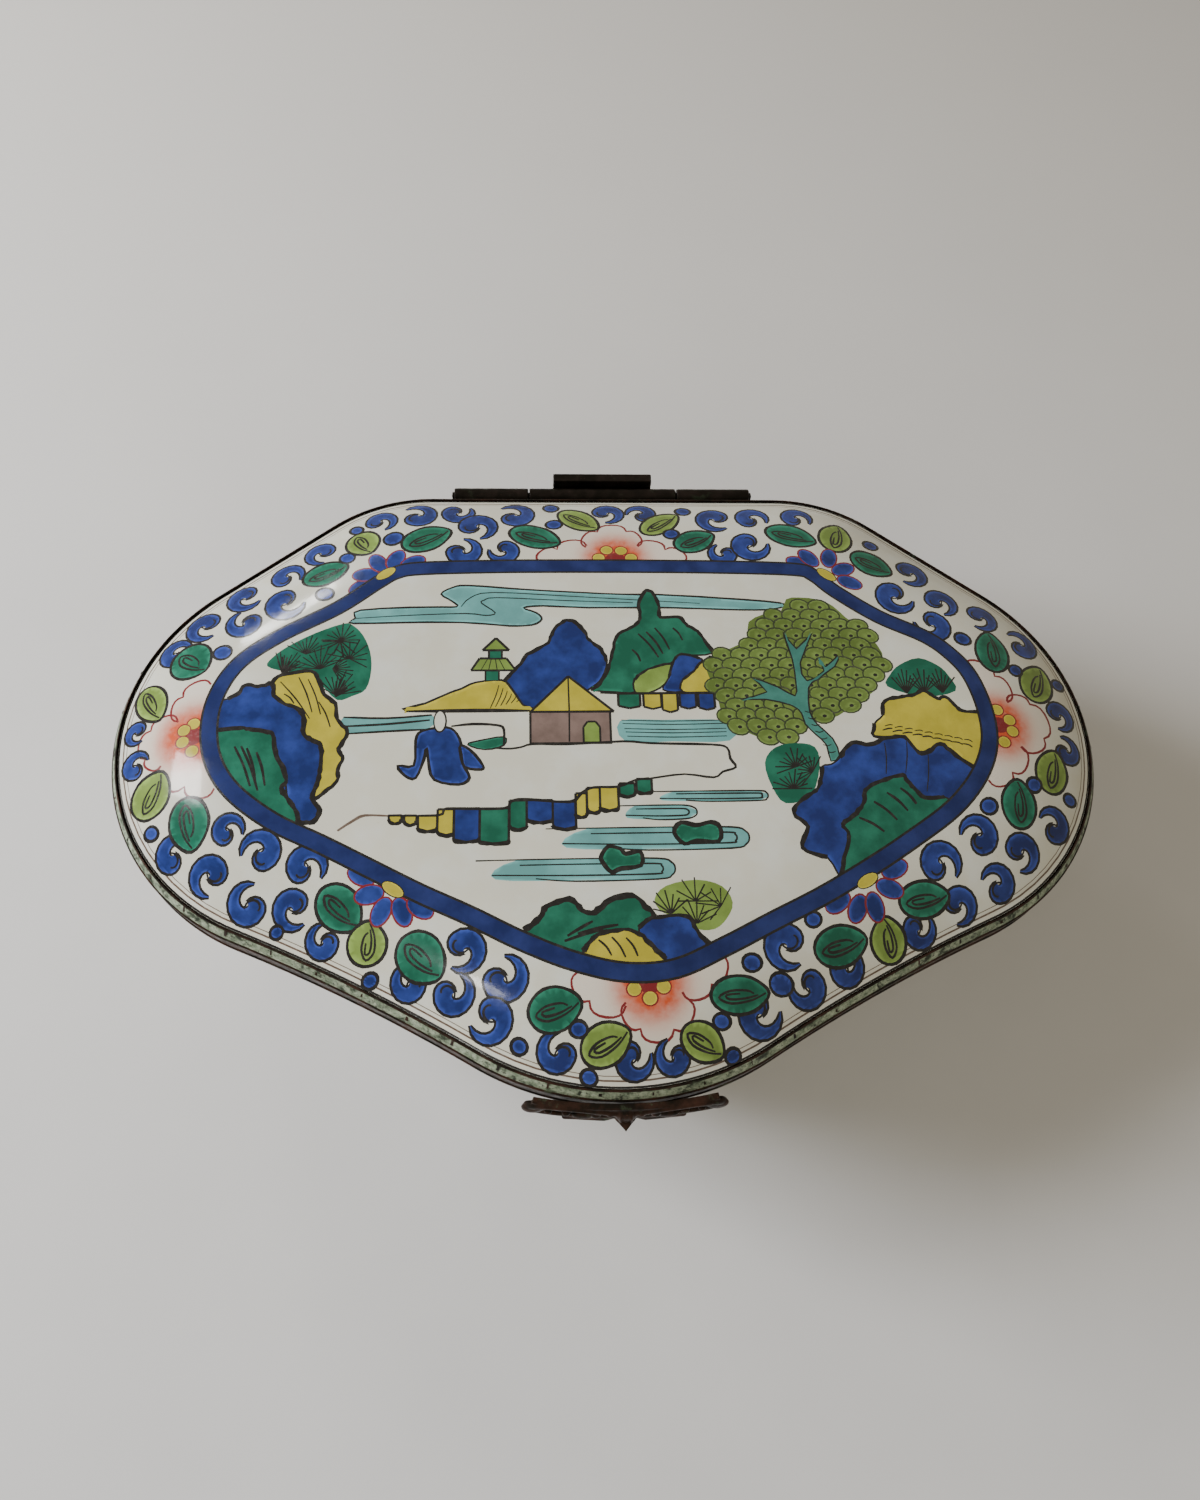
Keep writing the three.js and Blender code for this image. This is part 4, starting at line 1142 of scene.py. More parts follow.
def line_material(name, colour, thin):
    """Drawn line, slightly broken where the brush ran dry."""
    shader = Shader(name)
    tone = shader.mix(shader.spread(shader.noise(1.4, 4), 0.5, 0.8, 0.0, thin), tuple(colour),
                      toward(tuple(colour), DRY_LINE, 0.35))
    shader.bump(shader.noise(0.5, 2), 0.02, 0.4)
    return shader.finish(tone, shader.spread(shader.noise(1.5, 2), 0.3, 0.7, 0.16, 0.34), Coat_Weight=0.3,
                         Coat_Roughness=0.08)


def verdigris_material(name, verdigris, bronze):
    """Pale green skin on the lid's band, worn to dark metal in patches and at its grain."""
    shader = Shader(name)
    verdigris, bronze = tuple(verdigris), tuple(bronze)
    chalk = shader.mix(shader.spread(shader.noise(1.6, 5, 0.7), 0.35, 0.65), shade(verdigris, 0.55),
                       toward(verdigris, CHALK, 0.55))
    worn = shader.spread(shader.noise(3.4, 6, 0.72), 0.5, 0.6)
    skin = shader.mix(worn, chalk, toward(bronze, GREEN_BLACK, 0.5))
    cracks = shader.spread(shader.noise(0.5, 4, 0.7), 0.56, 0.64)
    broken = shader.mix(cracks, skin, shade(bronze, 0.8))
    shader.bump(shader.noise(0.7, 5, 0.7), 0.16, 0.7)
    return shader.finish(broken, shader.spread(shader.noise(1.2, 3), 0.3, 0.7, 0.5, 0.8), Metallic=0.15)


def bronze_material(name, bronze, verdigris, rub):
    """Dark handled metal, copper-brown where rubbed and green in its hollows."""
    shader = Shader(name)
    bronze, verdigris = tuple(bronze), tuple(verdigris)
    rubbed = shader.mix(shader.spread(shader.noise(4.5, 6, 0.65), 0.42, 0.66), shade(bronze, 0.6), rub)
    greened = shader.mix(shader.spread(shader.noise(2.8, 6, 0.7), 0.58, 0.7, 0, 0.75), rubbed,
                         shade(verdigris, 0.45))
    bright = shader.mix(shader.spread(shader.noise(0.9, 4), 0.68, 0.78, 0, 0.55), greened, BRIGHT_COPPER)
    shader.bump(shader.noise(0.8, 5, 0.65), 0.12, 0.6)
    return shader.finish(bright, shader.spread(shader.noise(2, 4), 0.3, 0.7, 0.28, 0.6), Metallic=0.62)


def make_materials():
    """Every glaze, enamel and metal of the box, by name."""
    paint = bpy.context.scene.table_box_pigments
    return {
        "glaze": glaze_material("porcelain_glaze", paint.glaze),
        "ink": line_material("ink_line", paint.ink, 0.2),
        "cobalt": enamel_material("cobalt_enamel", paint.cobalt, 2.7, 5.0),
        "green": enamel_material("green_enamel", paint.green, 1.9, 5.0),
        "leaf": enamel_material("leaf_enamel", paint.leaf, 1.5, 6.0),
        "foliage": enamel_material("foliage_enamel", shade(paint.leaf, 0.62), 1.5, 8.0),
        "deep": enamel_material("deep_cobalt_enamel", shade(paint.cobalt, 0.72), 1.8, 6.0),
        "yellow": enamel_material("yellow_enamel", paint.yellow, 1.2, 6.0),
        "water": enamel_material("water_enamel", paint.water, 1.5, 9.0),
        "mauve": enamel_material("mauve_enamel", paint.mauve, 1.4, 4.0),
        "jade": enamel_material("jade_enamel", toward(paint.green, paint.water, 0.3), 1.4, 4.0),
        "petal": petal_material("petal_wash", paint.glaze),
        "red": line_material("iron_red_line", paint.red, 0.3),
        "rust": line_material("brown_line", BROWN_LINE, 0.8),
        "olive": line_material("olive_line", OLIVE_LINE, 0.4),
        "verdigris": verdigris_material("verdigris_band", paint.verdigris, paint.bronze),
        "bronze": bronze_material("handled_bronze", paint.bronze, paint.verdigris, COPPER_RUB),
        # A darker copy of the mount metal for the hinge and stop: painted shade where they sit at the back
        # of the box
        "dark": bronze_material("hinge_metal_painted_shade", shade(paint.bronze, 0.6), shade(paint.verdigris, 0.4),
                                HINGE_SHADE_RUB),
    }


MATERIALS = {}


def material(name):
    if not MATERIALS:
        MATERIALS.update(make_materials())
    return MATERIALS[name]


# Meshes

class Surface:
    """Stretches of surface gathered into one closed mesh, each with its own smooth normals."""

    def __init__(self):
        self.points, self.normals, self.uvs, self.cores = [], [], [], []
        self.faces, self.finishes = [], []
        self.count = 0

    def add(self, points, faces, finishes, uvs, normals=None, cores=None, wrap=0):
        """Adds a stretch. Points are in mm. Wrap is the length of a row whose ends meet, or 0."""
        points = np.asarray(points, float)
        if normals is None:
            normals = vertex_normals(points, faces)
            if wrap:
                rows = normals.reshape(-1, wrap, 3)
                rows[:, 0] += rows[:, -1]
                rows[:, -1] = rows[:, 0]
                normals = rows.reshape(-1, 3)
            normals /= np.maximum(np.linalg.norm(normals, axis=1), 1e-12)[:, None]
        self.points.append(points)
        self.normals.append(normals)
        self.uvs.append(np.asarray(uvs, float))
        self.cores.append(np.ones(len(points)) if cores is None else np.asarray(cores, float))
        first = self.count
        self.faces += [[first + i for i in face] for face in faces]
        self.finishes += list(finishes) if not isinstance(finishes, str) else [finishes] * len(faces)
        self.count += len(points)

    def build(self, name, body, nodes, slot):
        """Makes the object, rides it on its body and lets it stand for its frame nodes."""
        points = np.vstack(self.points)
        normals = np.vstack(self.normals)
        uvs = np.vstack(self.uvs)
        cores = np.concatenate(self.cores)
        _, keep, index = np.unique(np.round(points, 3), axis=0, return_index=True, return_inverse=True)
        index = index.reshape(-1)
        faces, finishes, corners = [], [], []
        for face, finish in zip(self.faces, self.finishes):
            welded = [int(index[i]) for i in face]
            if len(set(welded)) == len(welded):
                faces.append(welded)
                finishes.append(finish)
                corners += face
            elif len(set(welded)) == 3:
                kept = [i for k, i in enumerate(face) if welded[k] not in welded[:k]]
                faces.append([int(index[i]) for i in kept])
                finishes.append(finish)
                corners += kept
        mesh = bpy.data.meshes.new(name)
        mesh.from_pydata((points[keep] * MM).tolist(), [], faces)
        names = sorted(set(finishes))
        for finish in names:
            mesh.materials.append(material(finish))
        mesh.polygons.foreach_set("material_index", [names.index(f) for f in finishes])
        mesh.polygons.foreach_set("use_smooth", [True] * len(faces))
        layer = mesh.uv_layers.new(name="plan")
        layer.data.foreach_set("uv", uvs[corners].ravel())
        thick = mesh.attributes.new("core", "FLOAT", "POINT")
        thick.data.foreach_set("value", cores[keep])
        wash = mesh.attributes.new("wash", "FLOAT", "POINT")
        wash.data.foreach_set("value", petal_wash(points[keep][:, :2]))
        mesh.normals_split_custom_set(normals[corners].tolist())
        mesh.update()
        return place(mesh, name, body, nodes, slot)


def place(mesh, name, body, nodes, slot):
    made = bpy.data.objects.new(name, mesh)
    bpy.context.scene.collection.objects.link(made)
    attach(made, body)
    if nodes:
        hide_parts(*nodes)
    return made


def vertex_normals(points, faces):
    """Normals at the points of a stretch, weighted by the area of its faces."""
    total = np.zeros_like(points)
    for size in {len(f) for f in faces}:
        some = np.array([f for f in faces if len(f) == size])
        cross = np.cross(points[some[:, 1]] - points[some[:, 0]], points[some[:, -1]] - points[some[:, 0]])
        if size == 4:
            cross += np.cross(points[some[:, 3]] - points[some[:, 2]],
                              points[some[:, 1]] - points[some[:, 2]])
        for corner in range(size):
            np.add.at(total, some[:, corner], cross)
    return total


# Where the red wash of each blossom is strongest
WASH_HEARTS = [(1.6, 41), (5, -57), (-88.6, -3), (83, -2)]
WASH_REACH = 7.6
WASH_FALL = 4.4


def petal_wash(places):
    """How strong the red wash is at each plan point: full at a blossom's heart, none past its petals."""
    wash = np.zeros(len(places))
    for heart in WASH_HEARTS:
        gap = np.linalg.norm(places - np.array(heart), axis=1)
        wash = np.maximum(wash, np.exp(-((gap / WASH_REACH) ** WASH_FALL)))
    return wash


def skin(surface, rings, finish, uv_box):
    """Joins rings of equal length into a smooth band. The uv box is left, low, width and height."""
    rings = [np.vstack([r, r[:1]]) for r in rings]
    wide = len(rings[0])
    faces = []
    for row in range(len(rings) - 1):
        for k in range(wide - 1):
            a = row * wide + k
            faces.append([a, a + 1, a + 1 + wide, a + wide])
    u0, v0, du, dv = uv_box
    u = np.linspace(u0, u0 + du, wide)
    v = np.linspace(v0, v0 + dv, len(rings))
    uvs = np.array([[a, b] for b in v for a in u])
    surface.add(np.vstack(rings), faces, finish, uvs, wrap=wide)


def profile(surface, stations, finish, uv_box):
    """Rings at (inset, height) stations joined by bands with a crisp edge at every station."""
    u0, v0, du, dv = uv_box
    rise = dv / (len(stations) - 1)
    for k in range(len(stations) - 1):
        pair = [ring(*stations[k]), ring(*stations[k + 1])]
        skin(surface, pair, finish, (u0, v0 + k * rise, du, rise * 0.96))


def cap(surface, course, height, upward, finish, uv_box):
    """Closes a ring by a fan from the middle of the plan."""
    course = np.asarray(course)
    hub = len(course)
    faces = []
    for k in range(hub):
        after = (k + 1) % hub
        faces.append([hub, k, after] if upward else [hub, after, k])
    points = np.vstack([course, [MIDDLE.x, MIDDLE.y, height]])
    u0, v0, du, dv = uv_box
    uvs = np.column_stack([u0 + du * (points[:, 0] + HALF_WIDTH) / (2 * HALF_WIDTH),
                           v0 + dv * (points[:, 1] + FRONT_REACH) / (FRONT_REACH + BACK_REACH)])
    normal = np.tile([0, 0, 1.0 if upward else -1.0], (len(points), 1))
    surface.add(points, faces, finish, uvs, normals=normal)


def grid_spots(step, low, high, keep):
    """Points of a staggered grid between two corners that pass a test."""
    spots = []
    row = 0
    y = low[1]
    while y < high[1]:
        x = low[0] + (step / 2 if row % 2 else 0)
        while x < high[0]:
            spots.append((x, y))
            x += step
        y += step * 0.87
        row += 1
    spots = np.array(spots)
    return spots[keep(spots)]


class OBJECT_OT_table_box_lid(bpy.types.Operator):
    """Build the domed lid with its painted picture and border"""

    bl_idname = "object.table_box_lid"
    bl_label = "Painted lid"

    def execute(self, context):
        forms = context.scene.table_box_forms
        canvas = Canvas(forms.outline_width)
        canvas.area(plan_ring(LID_INSET), "glaze", 1.0)
        paint_border(canvas)
        for part in PICTURE:
            part(canvas)
        paint_band(canvas, forms.panel_band)
        step = forms.ground_step * 1
        spots = grid_spots(step, (-HALF_WIDTH, -FRONT_REACH), (HALF_WIDTH, BACK_REACH),
                           lambda s: (rim_distance(s) > LID_INSET + 0.8) & (turns_round(s, RIM) != 0))
        points, faces, finishes, cores = canvas.triangulated(spots)
        heights = lid_height(points)
        uvs = np.column_stack([(points[:, 0] + HALF_WIDTH) / (2 * HALF_WIDTH),
                               0.3 + 0.7 * (points[:, 1] + FRONT_REACH) / (FRONT_REACH + BACK_REACH)])
        surface = Surface()
        surface.add(np.column_stack([points, heights]), faces, finishes, uvs, lid_normals(points), cores)
        seat = LID_LOW[2]
        hollow = LID_INSET + LID_SHOULDER
        top = ring(LID_INSET, 0)
        top[:, 2] = lid_height(top[:, :2])
        skin(surface, [ring(LID_INSET, seat), top], "glaze", (0, 0.0, 1, 0.03))
        skin(surface, [ring(hollow, seat), ring(LID_INSET, seat)], "glaze", (0, 0.03, 1, 0.03))
        under = []
        for part in (0, 0.06, 0.13, 0.2, 0.3, 0.4, 0.5):
            flat = ring(hollow + part * DOME_REACH, 0)
            flat[:, 2] = lid_height(flat[:, :2]) - LID_WALL
            under.append(flat)
        last = under[-1][:, :2]
        for shrink in (0.75, 0.5, 0.25):
            inner = np.array(MIDDLE) + (last - np.array(MIDDLE)) * shrink
            under.append(np.column_stack([inner, lid_height(inner) - LID_WALL]))
        skin(surface, [under[0], ring(hollow, seat)], "glaze", (0, 0.06, 1, 0.03))
        skin(surface, under[::-1], "glaze", (0, 0.09, 0.7, 0.2))
        cap(surface, under[-1], LID_HIGH[2] - LID_WALL, False, "glaze", (0.72, 0.09, 0.28, 0.2))
        surface.build("painted_lid", "lid", ["porcelain_lid"], "porcelain")
        return {"FINISHED"}


def box_inset(z):
    """How far the box's outer wall stands in from the rim at a height."""
    down = (BOX_TOP - z) / (BOX_TOP - FOOT_HEIGHT)
    return BOX_RIM_INSET + (BOX_FOOT_INSET - BOX_RIM_INSET) * down**TAPER


def on_wall(places):
    """Box wall points for (length along the rim, height) places."""
    ends = np.vstack([RIM, RIM[:1]])
    outs = np.vstack([RIM_OUT, RIM_OUT[:1]])
    s, z = places[:, 0], places[:, 1]
    inset = box_inset(z)
    x = np.interp(s, RIM_LENGTH, ends[:, 0]) - np.interp(s, RIM_LENGTH, outs[:, 0]) * inset
    y = np.interp(s, RIM_LENGTH, ends[:, 1]) - np.interp(s, RIM_LENGTH, outs[:, 1]) * inset
    return np.column_stack([x, y, z])


def wall_ring(z):
    """The outer wall's outline at one height."""
    return on_wall(np.column_stack([RIM_LENGTH[:-1], np.full(len(RIM), z)]))


def wall_normals(places):
    """Normals of the box's outer wall at (length, height) places."""
    reach = 0.8

    def moved(along, up):
        return on_wall(np.column_stack([(places[:, 0] + along) % RIM_GIRTH,
                                        np.clip(places[:, 1] + up, FOOT_HEIGHT, BOX_TOP)]))

    normals = np.cross(moved(reach, 0) - moved(-reach, 0), moved(0, reach) - moved(0, -reach))
    return normals / np.linalg.norm(normals, axis=1)[:, None]


def garland(canvas, centre, width):
    """One stretch of the plain garland on the wall: a daisy between leaves, scrolls and dots."""
    z = 33
    petals = [(centre + 6.3 * math.cos(a), z + 6.3 * math.sin(a))
              for a in (math.radians(d) for d in range(90, 450, 60))]
    for place in petals:
        lean = math.degrees(math.atan2(place[1] - z, place[0] - centre))
        canvas.enamel(oval((centre + 2 * place[0]) / 3, (z + 2 * place[1]) / 3, 3, 2.1, lean, 16), "cobalt",
                      "red", 0.4, 0.8)
    canvas.enamel(oval(centre, z, 2.1, 2.1, 0, 14), "yellow", "red", 0.35)
    for way in (-1, 1):
        leaf(canvas, centre + way * 12.6, z + 5.4, 5.6, 3.9, way * 24, "green")
        leaf(canvas, centre + way * 11.2, z - 8.4, 4.9, 3.8, way * -52, "leaf")
        scroll(canvas, centre + way * 20.6, z - 3.4, 5, 90 - way * 60, way)
        scroll(canvas, centre + way * 2.9, z - 13.2, 3.9, 90 + way * 90, way)
        dot(canvas, centre + way * 21.4, z + 6.6, 1.7)
        dot(canvas, centre + way * 17.8, z - 14, 1.6)
    dot(canvas, centre + width / 2, z - 10.6, 1.8)
    dot(canvas, centre, z + 10.8, 1.6)


class OBJECT_OT_table_box_body(bpy.types.Operator):
    """Build the hollow box with its plainer painted walls"""

    bl_idname = "object.table_box_body"
    bl_label = "Painted box"

    def execute(self, context):
        forms = context.scene.table_box_forms
        top, low = BOX_TOP, FOOT_HEIGHT
        canvas = Canvas(forms.outline_width)
        rise = np.linspace(low, top, 26)
        border = [(s, low) for s in RIM_LENGTH] + [(RIM_GIRTH, z) for z in rise[1:]]
        border += [(s, top) for s in RIM_LENGTH[-2::-1]] + [(0, z) for z in rise[-2:0:-1]]
        canvas.area(border, "glaze", 1.0)
        width = RIM_GIRTH / forms.garlands
        for k in range(forms.garlands):
            garland(canvas, (k + 0.5) * width, width * 0.98)
        spots = grid_spots(3.2, (1.2, low + 1.2), (RIM_GIRTH - 1.2, top - 1.2), lambda s: s[:, 0] > 0)
        points, faces, finishes, cores = canvas.triangulated(spots)
        uvs = np.column_stack([points[:, 0] / RIM_GIRTH, 0.45 + 0.55 * (points[:, 1] - low) / (top - low)])
        surface = Surface()
        surface.add(on_wall(points), faces, finishes, uvs, wall_normals(points), cores)
        skin(surface, [wall_ring(top), ring(BOX_RIM_INSET + BOX_WALL, top)], "glaze", (0, 0.42, 1, 0.02))
        heights = [top - (top - FLOOR - 1) * k / 14 for k in range(15)]
        walls = [ring(box_inset(z) + BOX_WALL, z) for z in heights]
        hollow = box_inset(FLOOR) + BOX_WALL + 1
        walls += [ring(hollow - 0.55, FLOOR + 0.3), ring(hollow, FLOOR)]
        skin(surface, walls, "glaze", (0, 0.2, 1, 0.2))
        cap(surface, walls[-1], FLOOR, True, "glaze", (0.0, 0.0, 0.45, 0.2))
        foot = BOX_FOOT_INSET + 0.8
        profile(surface, [(foot + 0.8, 0), (foot + 0.25, 0.25), (foot, 0.8), (foot, low - 0.8)], "glaze",
                (0.5, 0.0, 0.5, 0.12))
        skin(surface, [ring(foot, low - 0.8), wall_ring(low)], "glaze", (0.5, 0.13, 0.5, 0.03))
        cap(surface, ring(foot + 0.8, 0), 0, False, "glaze", (0.5, 0.17, 0.3, 0.03))
        surface.build("painted_box", "box", ["porcelain_box"], "porcelain")
        return {"FINISHED"}


# Mounts

LIP_LOW = PARTING + GAP / 2
COLLAR_TOP = PARTING - GAP / 2
COLLAR_LOW = COLLAR_TOP - 5.2


class OBJECT_OT_table_box_mounts(bpy.types.Operator):
    """Build the lid's band with its nicks and the collar round the mouth"""

    bl_idname = "object.table_box_mounts"
    bl_label = "Mounts"

    def execute(self, context):
        forms = context.scene.table_box_forms
        inner = LID_INSET + LID_SHOULDER
        hold = LID_INSET - GAP
        lid_band = Surface()
        seat = LIP_LOW + 0.5
        profile(lid_band, [(inner, seat), (inner, LIP_LOW), (0.18, LIP_LOW), (0, LIP_LOW + 0.15),
                           (0, LIP_LOW + 0.6), (0.1, LIP_LOW + 0.75), (0.35, LIP_LOW + 0.95)], "bronze",
                (0, 0, 1, 0.4))
        top = LID_EDGE + 0.5
        profile(lid_band, [(0.35, LIP_LOW + 0.95), (0.62, 55.95), (1.32, 57.2)], "verdigris",
                (0, 0.42, 1, 0.3))
        profile(lid_band, [(1.32, 57.2), (1.52, 57.42), (hold, top), (hold, seat), (inner, seat)], "bronze",
                (0, 0.75, 1, 0.24))
        lid_band.build("lid_band", "lid", ["lid_mount"], "mount_metal")
        nicks = nick_course(forms.nick_spacing)
        place(nicks, "lid_band_nicks", "lid", [], "mount_metal")
        collar = Surface()
        skirt = BOX_RIM_INSET - GAP - 0.7
        grip = BOX_RIM_INSET - GAP
        reach = BOX_RIM_INSET + BOX_WALL
        profile(collar, [(reach, COLLAR_TOP), (reach, COLLAR_TOP - 0.5), (grip, COLLAR_TOP - 0.5),
                         (grip, COLLAR_LOW), (skirt - 0.15, COLLAR_LOW)], "bronze", (0, 0, 1, 0.35))
        bead = []
        for k in range(7):
            angle = math.pi * k / 6
            bead.append(ring(skirt + 0.02 - 0.31 * math.sin(angle),
                             COLLAR_LOW + 0.45 - 0.45 * math.cos(angle)))
        skin(collar, [ring(skirt - 0.15, COLLAR_LOW), *bead[1:]], "bronze", (0, 0.36, 1, 0.2))
        skin(collar, [bead[-1], ring(skirt, COLLAR_LOW + 1.1), ring(skirt, COLLAR_TOP - 0.15)], "bronze",
             (0, 0.58, 1, 0.25))
        profile(collar, [(skirt, COLLAR_TOP - 0.15), (skirt + 0.15, COLLAR_TOP), (reach, COLLAR_TOP)],
                "bronze", (0, 0.85, 1, 0.14))
        collar.build("collar", "box", ["box_mount"], "mount_metal")
        return {"FINISHED"}


def nick_mesh():
    """One dark cut across the sloping band, lying along its slope."""
    lean = Vector((0, 0.7, 1.25)).normalized()
    out = Vector((0, -lean.z, lean.y))
    corners = []
    for long in (-0.72, 0.72):
        for high, half in ((-0.25, 0.16), (0.05, 0.13)):
            for side in (-1, 1):
                corners.append((Vector((side * half, 0, 0)) + lean * long + out * high) * MM)
    mesh = bpy.data.meshes.new("band_nick")
    mesh.from_pydata([tuple(c) for c in corners], [],
                     [(2, 3, 7, 6), (0, 4, 5, 1), (0, 2, 6, 4), (1, 5, 7, 3), (0, 1, 3, 2), (4, 6, 7, 5)])
    layer = mesh.uv_layers.new(name="plan")
    for loop in layer.data:
        loop.uv = (0.5, 0.5)
    mesh.materials.append(material("bronze"))
    return mesh


NICK_INSET = 0.97
NICK_HEIGHT = 56.58


def nick_course(spacing):
    """Cuts along the lid's band, placed by geometry nodes on a curve and made into one plain mesh."""
    course = ring(NICK_INSET, NICK_HEIGHT)
    curve = bpy.data.curves.new("band_course", "CURVE")
    curve.dimensions = "3D"
    spline = curve.splines.new("POLY")
    spline.points.add(len(course) - 1)
    for point, at in zip(spline.points, course):
        point.co = (*(at * MM), 1)
    spline.use_cyclic_u = True
    host = bpy.data.objects.new("band_course", curve)
    bpy.context.scene.collection.objects.link(host)
    nick = bpy.data.objects.new("band_nick", nick_mesh())
    bpy.context.scene.collection.objects.link(nick)
    tree = nick_tree()
    modifier = host.modifiers.new("nicks", "NODES")
    modifier.node_group = tree
    given = {"Spacing": spacing, "Nick": nick, "Finish": material("bronze")}
    for item in tree.interface.items_tree:
        if item.in_out == "INPUT" and item.name in given:
            modifier[item.identifier] = given[item.name]
    graph = bpy.context.evaluated_depsgraph_get()
    graph.update()
    made = bpy.data.meshes.new_from_object(host.evaluated_get(graph))
    made.name = "lid_band_nicks"
    host.modifiers.remove(modifier)
    bpy.data.objects.remove(host)
    bpy.data.objects.remove(nick)
    if not made.polygons:
        raise RuntimeError("the nodes placed no nicks")
    if not made.uv_layers:
        made.uv_layers.new(name="plan")
    return made


def nick_tree():
    """Geometry nodes: points at a spacing along a curve, each with a nick turned along it."""
    tree = bpy.data.node_groups.new("nicks along a course", "GeometryNodeTree")
    tree.interface.new_socket("Geometry", in_out="INPUT", socket_type="NodeSocketGeometry")
    spacing = tree.interface.new_socket("Spacing", in_out="INPUT", socket_type="NodeSocketFloat")
    spacing.default_value = 0.01
    spacing.min_value = 0.002
    tree.interface.new_socket("Nick", in_out="INPUT", socket_type="NodeSocketObject")
    tree.interface.new_socket("Finish", in_out="INPUT", socket_type="NodeSocketMaterial")
    seed = tree.interface.new_socket("Seed", in_out="INPUT", socket_type="NodeSocketInt")
    seed.default_value = 7
    tree.interface.new_socket("Geometry", in_out="OUTPUT", socket_type="NodeSocketGeometry")
    nodes, links = tree.nodes, tree.links
    entry = nodes.new("NodeGroupInput")
    leave = nodes.new("NodeGroupOutput")
    resample = nodes.new("GeometryNodeResampleCurve")
    resample.mode = "LENGTH"
    info = nodes.new("GeometryNodeObjectInfo")
    tangent = nodes.new("GeometryNodeInputTangent")
    align = nodes.new("FunctionNodeAlignRotationToVector")
    align.axis = "X"
    align.pivot_axis = "Z"
    vary = nodes.new("FunctionNodeRandomValue")
    vary.data_type = "FLOAT_VECTOR"
    vary.inputs["Min"].default_value = (0.7, 1, 0.55)
    vary.inputs["Max"].default_value = (2.4, 1, 1)
    instance = nodes.new("GeometryNodeInstanceOnPoints")
    realize = nodes.new("GeometryNodeRealizeInstances")
    finish = nodes.new("GeometryNodeSetMaterial")
    for start, output, end, entrance in (
        (entry, "Geometry", resample, "Curve"), (entry, "Spacing", resample, "Length"),
        (entry, "Nick", info, "Object"), (entry, "Seed", vary, "Seed"),
        (tangent, "Tangent", align, "Vector"), (resample, "Curve", instance, "Points"),
        (info, "Geometry", instance, "Instance"), (align, "Rotation", instance, "Rotation"),
        (vary, 0, instance, "Scale"), (instance, "Instances", realize, "Geometry"),
        (realize, "Geometry", finish, "Geometry"), (entry, "Finish", finish, "Material"),
        (finish, "Geometry", leave, "Geometry"),
    ):
        links.new(start.outputs[output], end.inputs[entrance])
    return tree


# Hinge

BARREL_RADIUS = 1.8
BORE_RADIUS = 1.0
LEAF_THICKNESS = 0.8
STOP_PLATE = 1.1
STOP_UPRIGHT = 2.4
STOP_SOFTNESS = 0.22
HINGE_Y = BACK_REACH + GAP + BARREL_RADIUS
HINGE_Z = PARTING


def turned(surface, stations, uv_box, sides=48):
    """A turned piece about the hinge's axis from (x, radius) stations, crisp at every station."""
    angles = [2 * math.pi * k / sides for k in range(sides)]
    rings = []
    for x, radius in stations:
        rings.append(np.array([(x, HINGE_Y + radius * math.cos(a),
                                HINGE_Z + radius * math.sin(a)) for a in angles]))
    u0, v0, du, dv = uv_box
    rise = dv / (len(rings) - 1)
    for k in range(len(rings) - 1):
        # The darkened hinge metal is painted shade
        skin(surface, rings[k:k + 2], "dark", (u0, v0 + k * rise, du, rise * 0.95))


def bar(surface, low, high, soft, uv_box):
    """A block with softened edges between two corners."""
    layers = []
    for z, grow in ((low[2], soft), (low[2] + soft, 0), (high[2] - soft, 0), (high[2], soft)):
        x0, x1, y0, y1 = low[0] + grow, high[0] - grow, low[1] + grow, high[1] - grow
        s = soft * 0.6
        layers.append(np.array([(x0 + s, y0, z), (x1 - s, y0, z), (x1, y0 + s, z), (x1, y1 - s, z),
                                (x1 - s, y1, z), (x0 + s, y1, z), (x0, y1 - s, z), (x0, y0 + s, z)]))
    u0, v0, du, dv = uv_box
    # The darkened hinge metal is painted shade
    skin(surface, layers, "dark", (u0, v0, du, dv * 0.6))
    for layer, upward in ((layers[0], False), (layers[-1], True)):
        order = list(range(8)) if upward else list(range(8))[::-1]
        uvs = np.column_stack([u0 + du * (layer[:, 0] - low[0]) / (high[0] - low[0]),
                               v0 + dv * (0.65 + 0.3 * (layer[:, 1] - low[1]) / (high[1] - low[1]))])
        normals = np.tile([0, 0, 1.0 if upward else -1.0], (8, 1))
        surface.add(layer, [order], "dark", uvs, normals=normals)


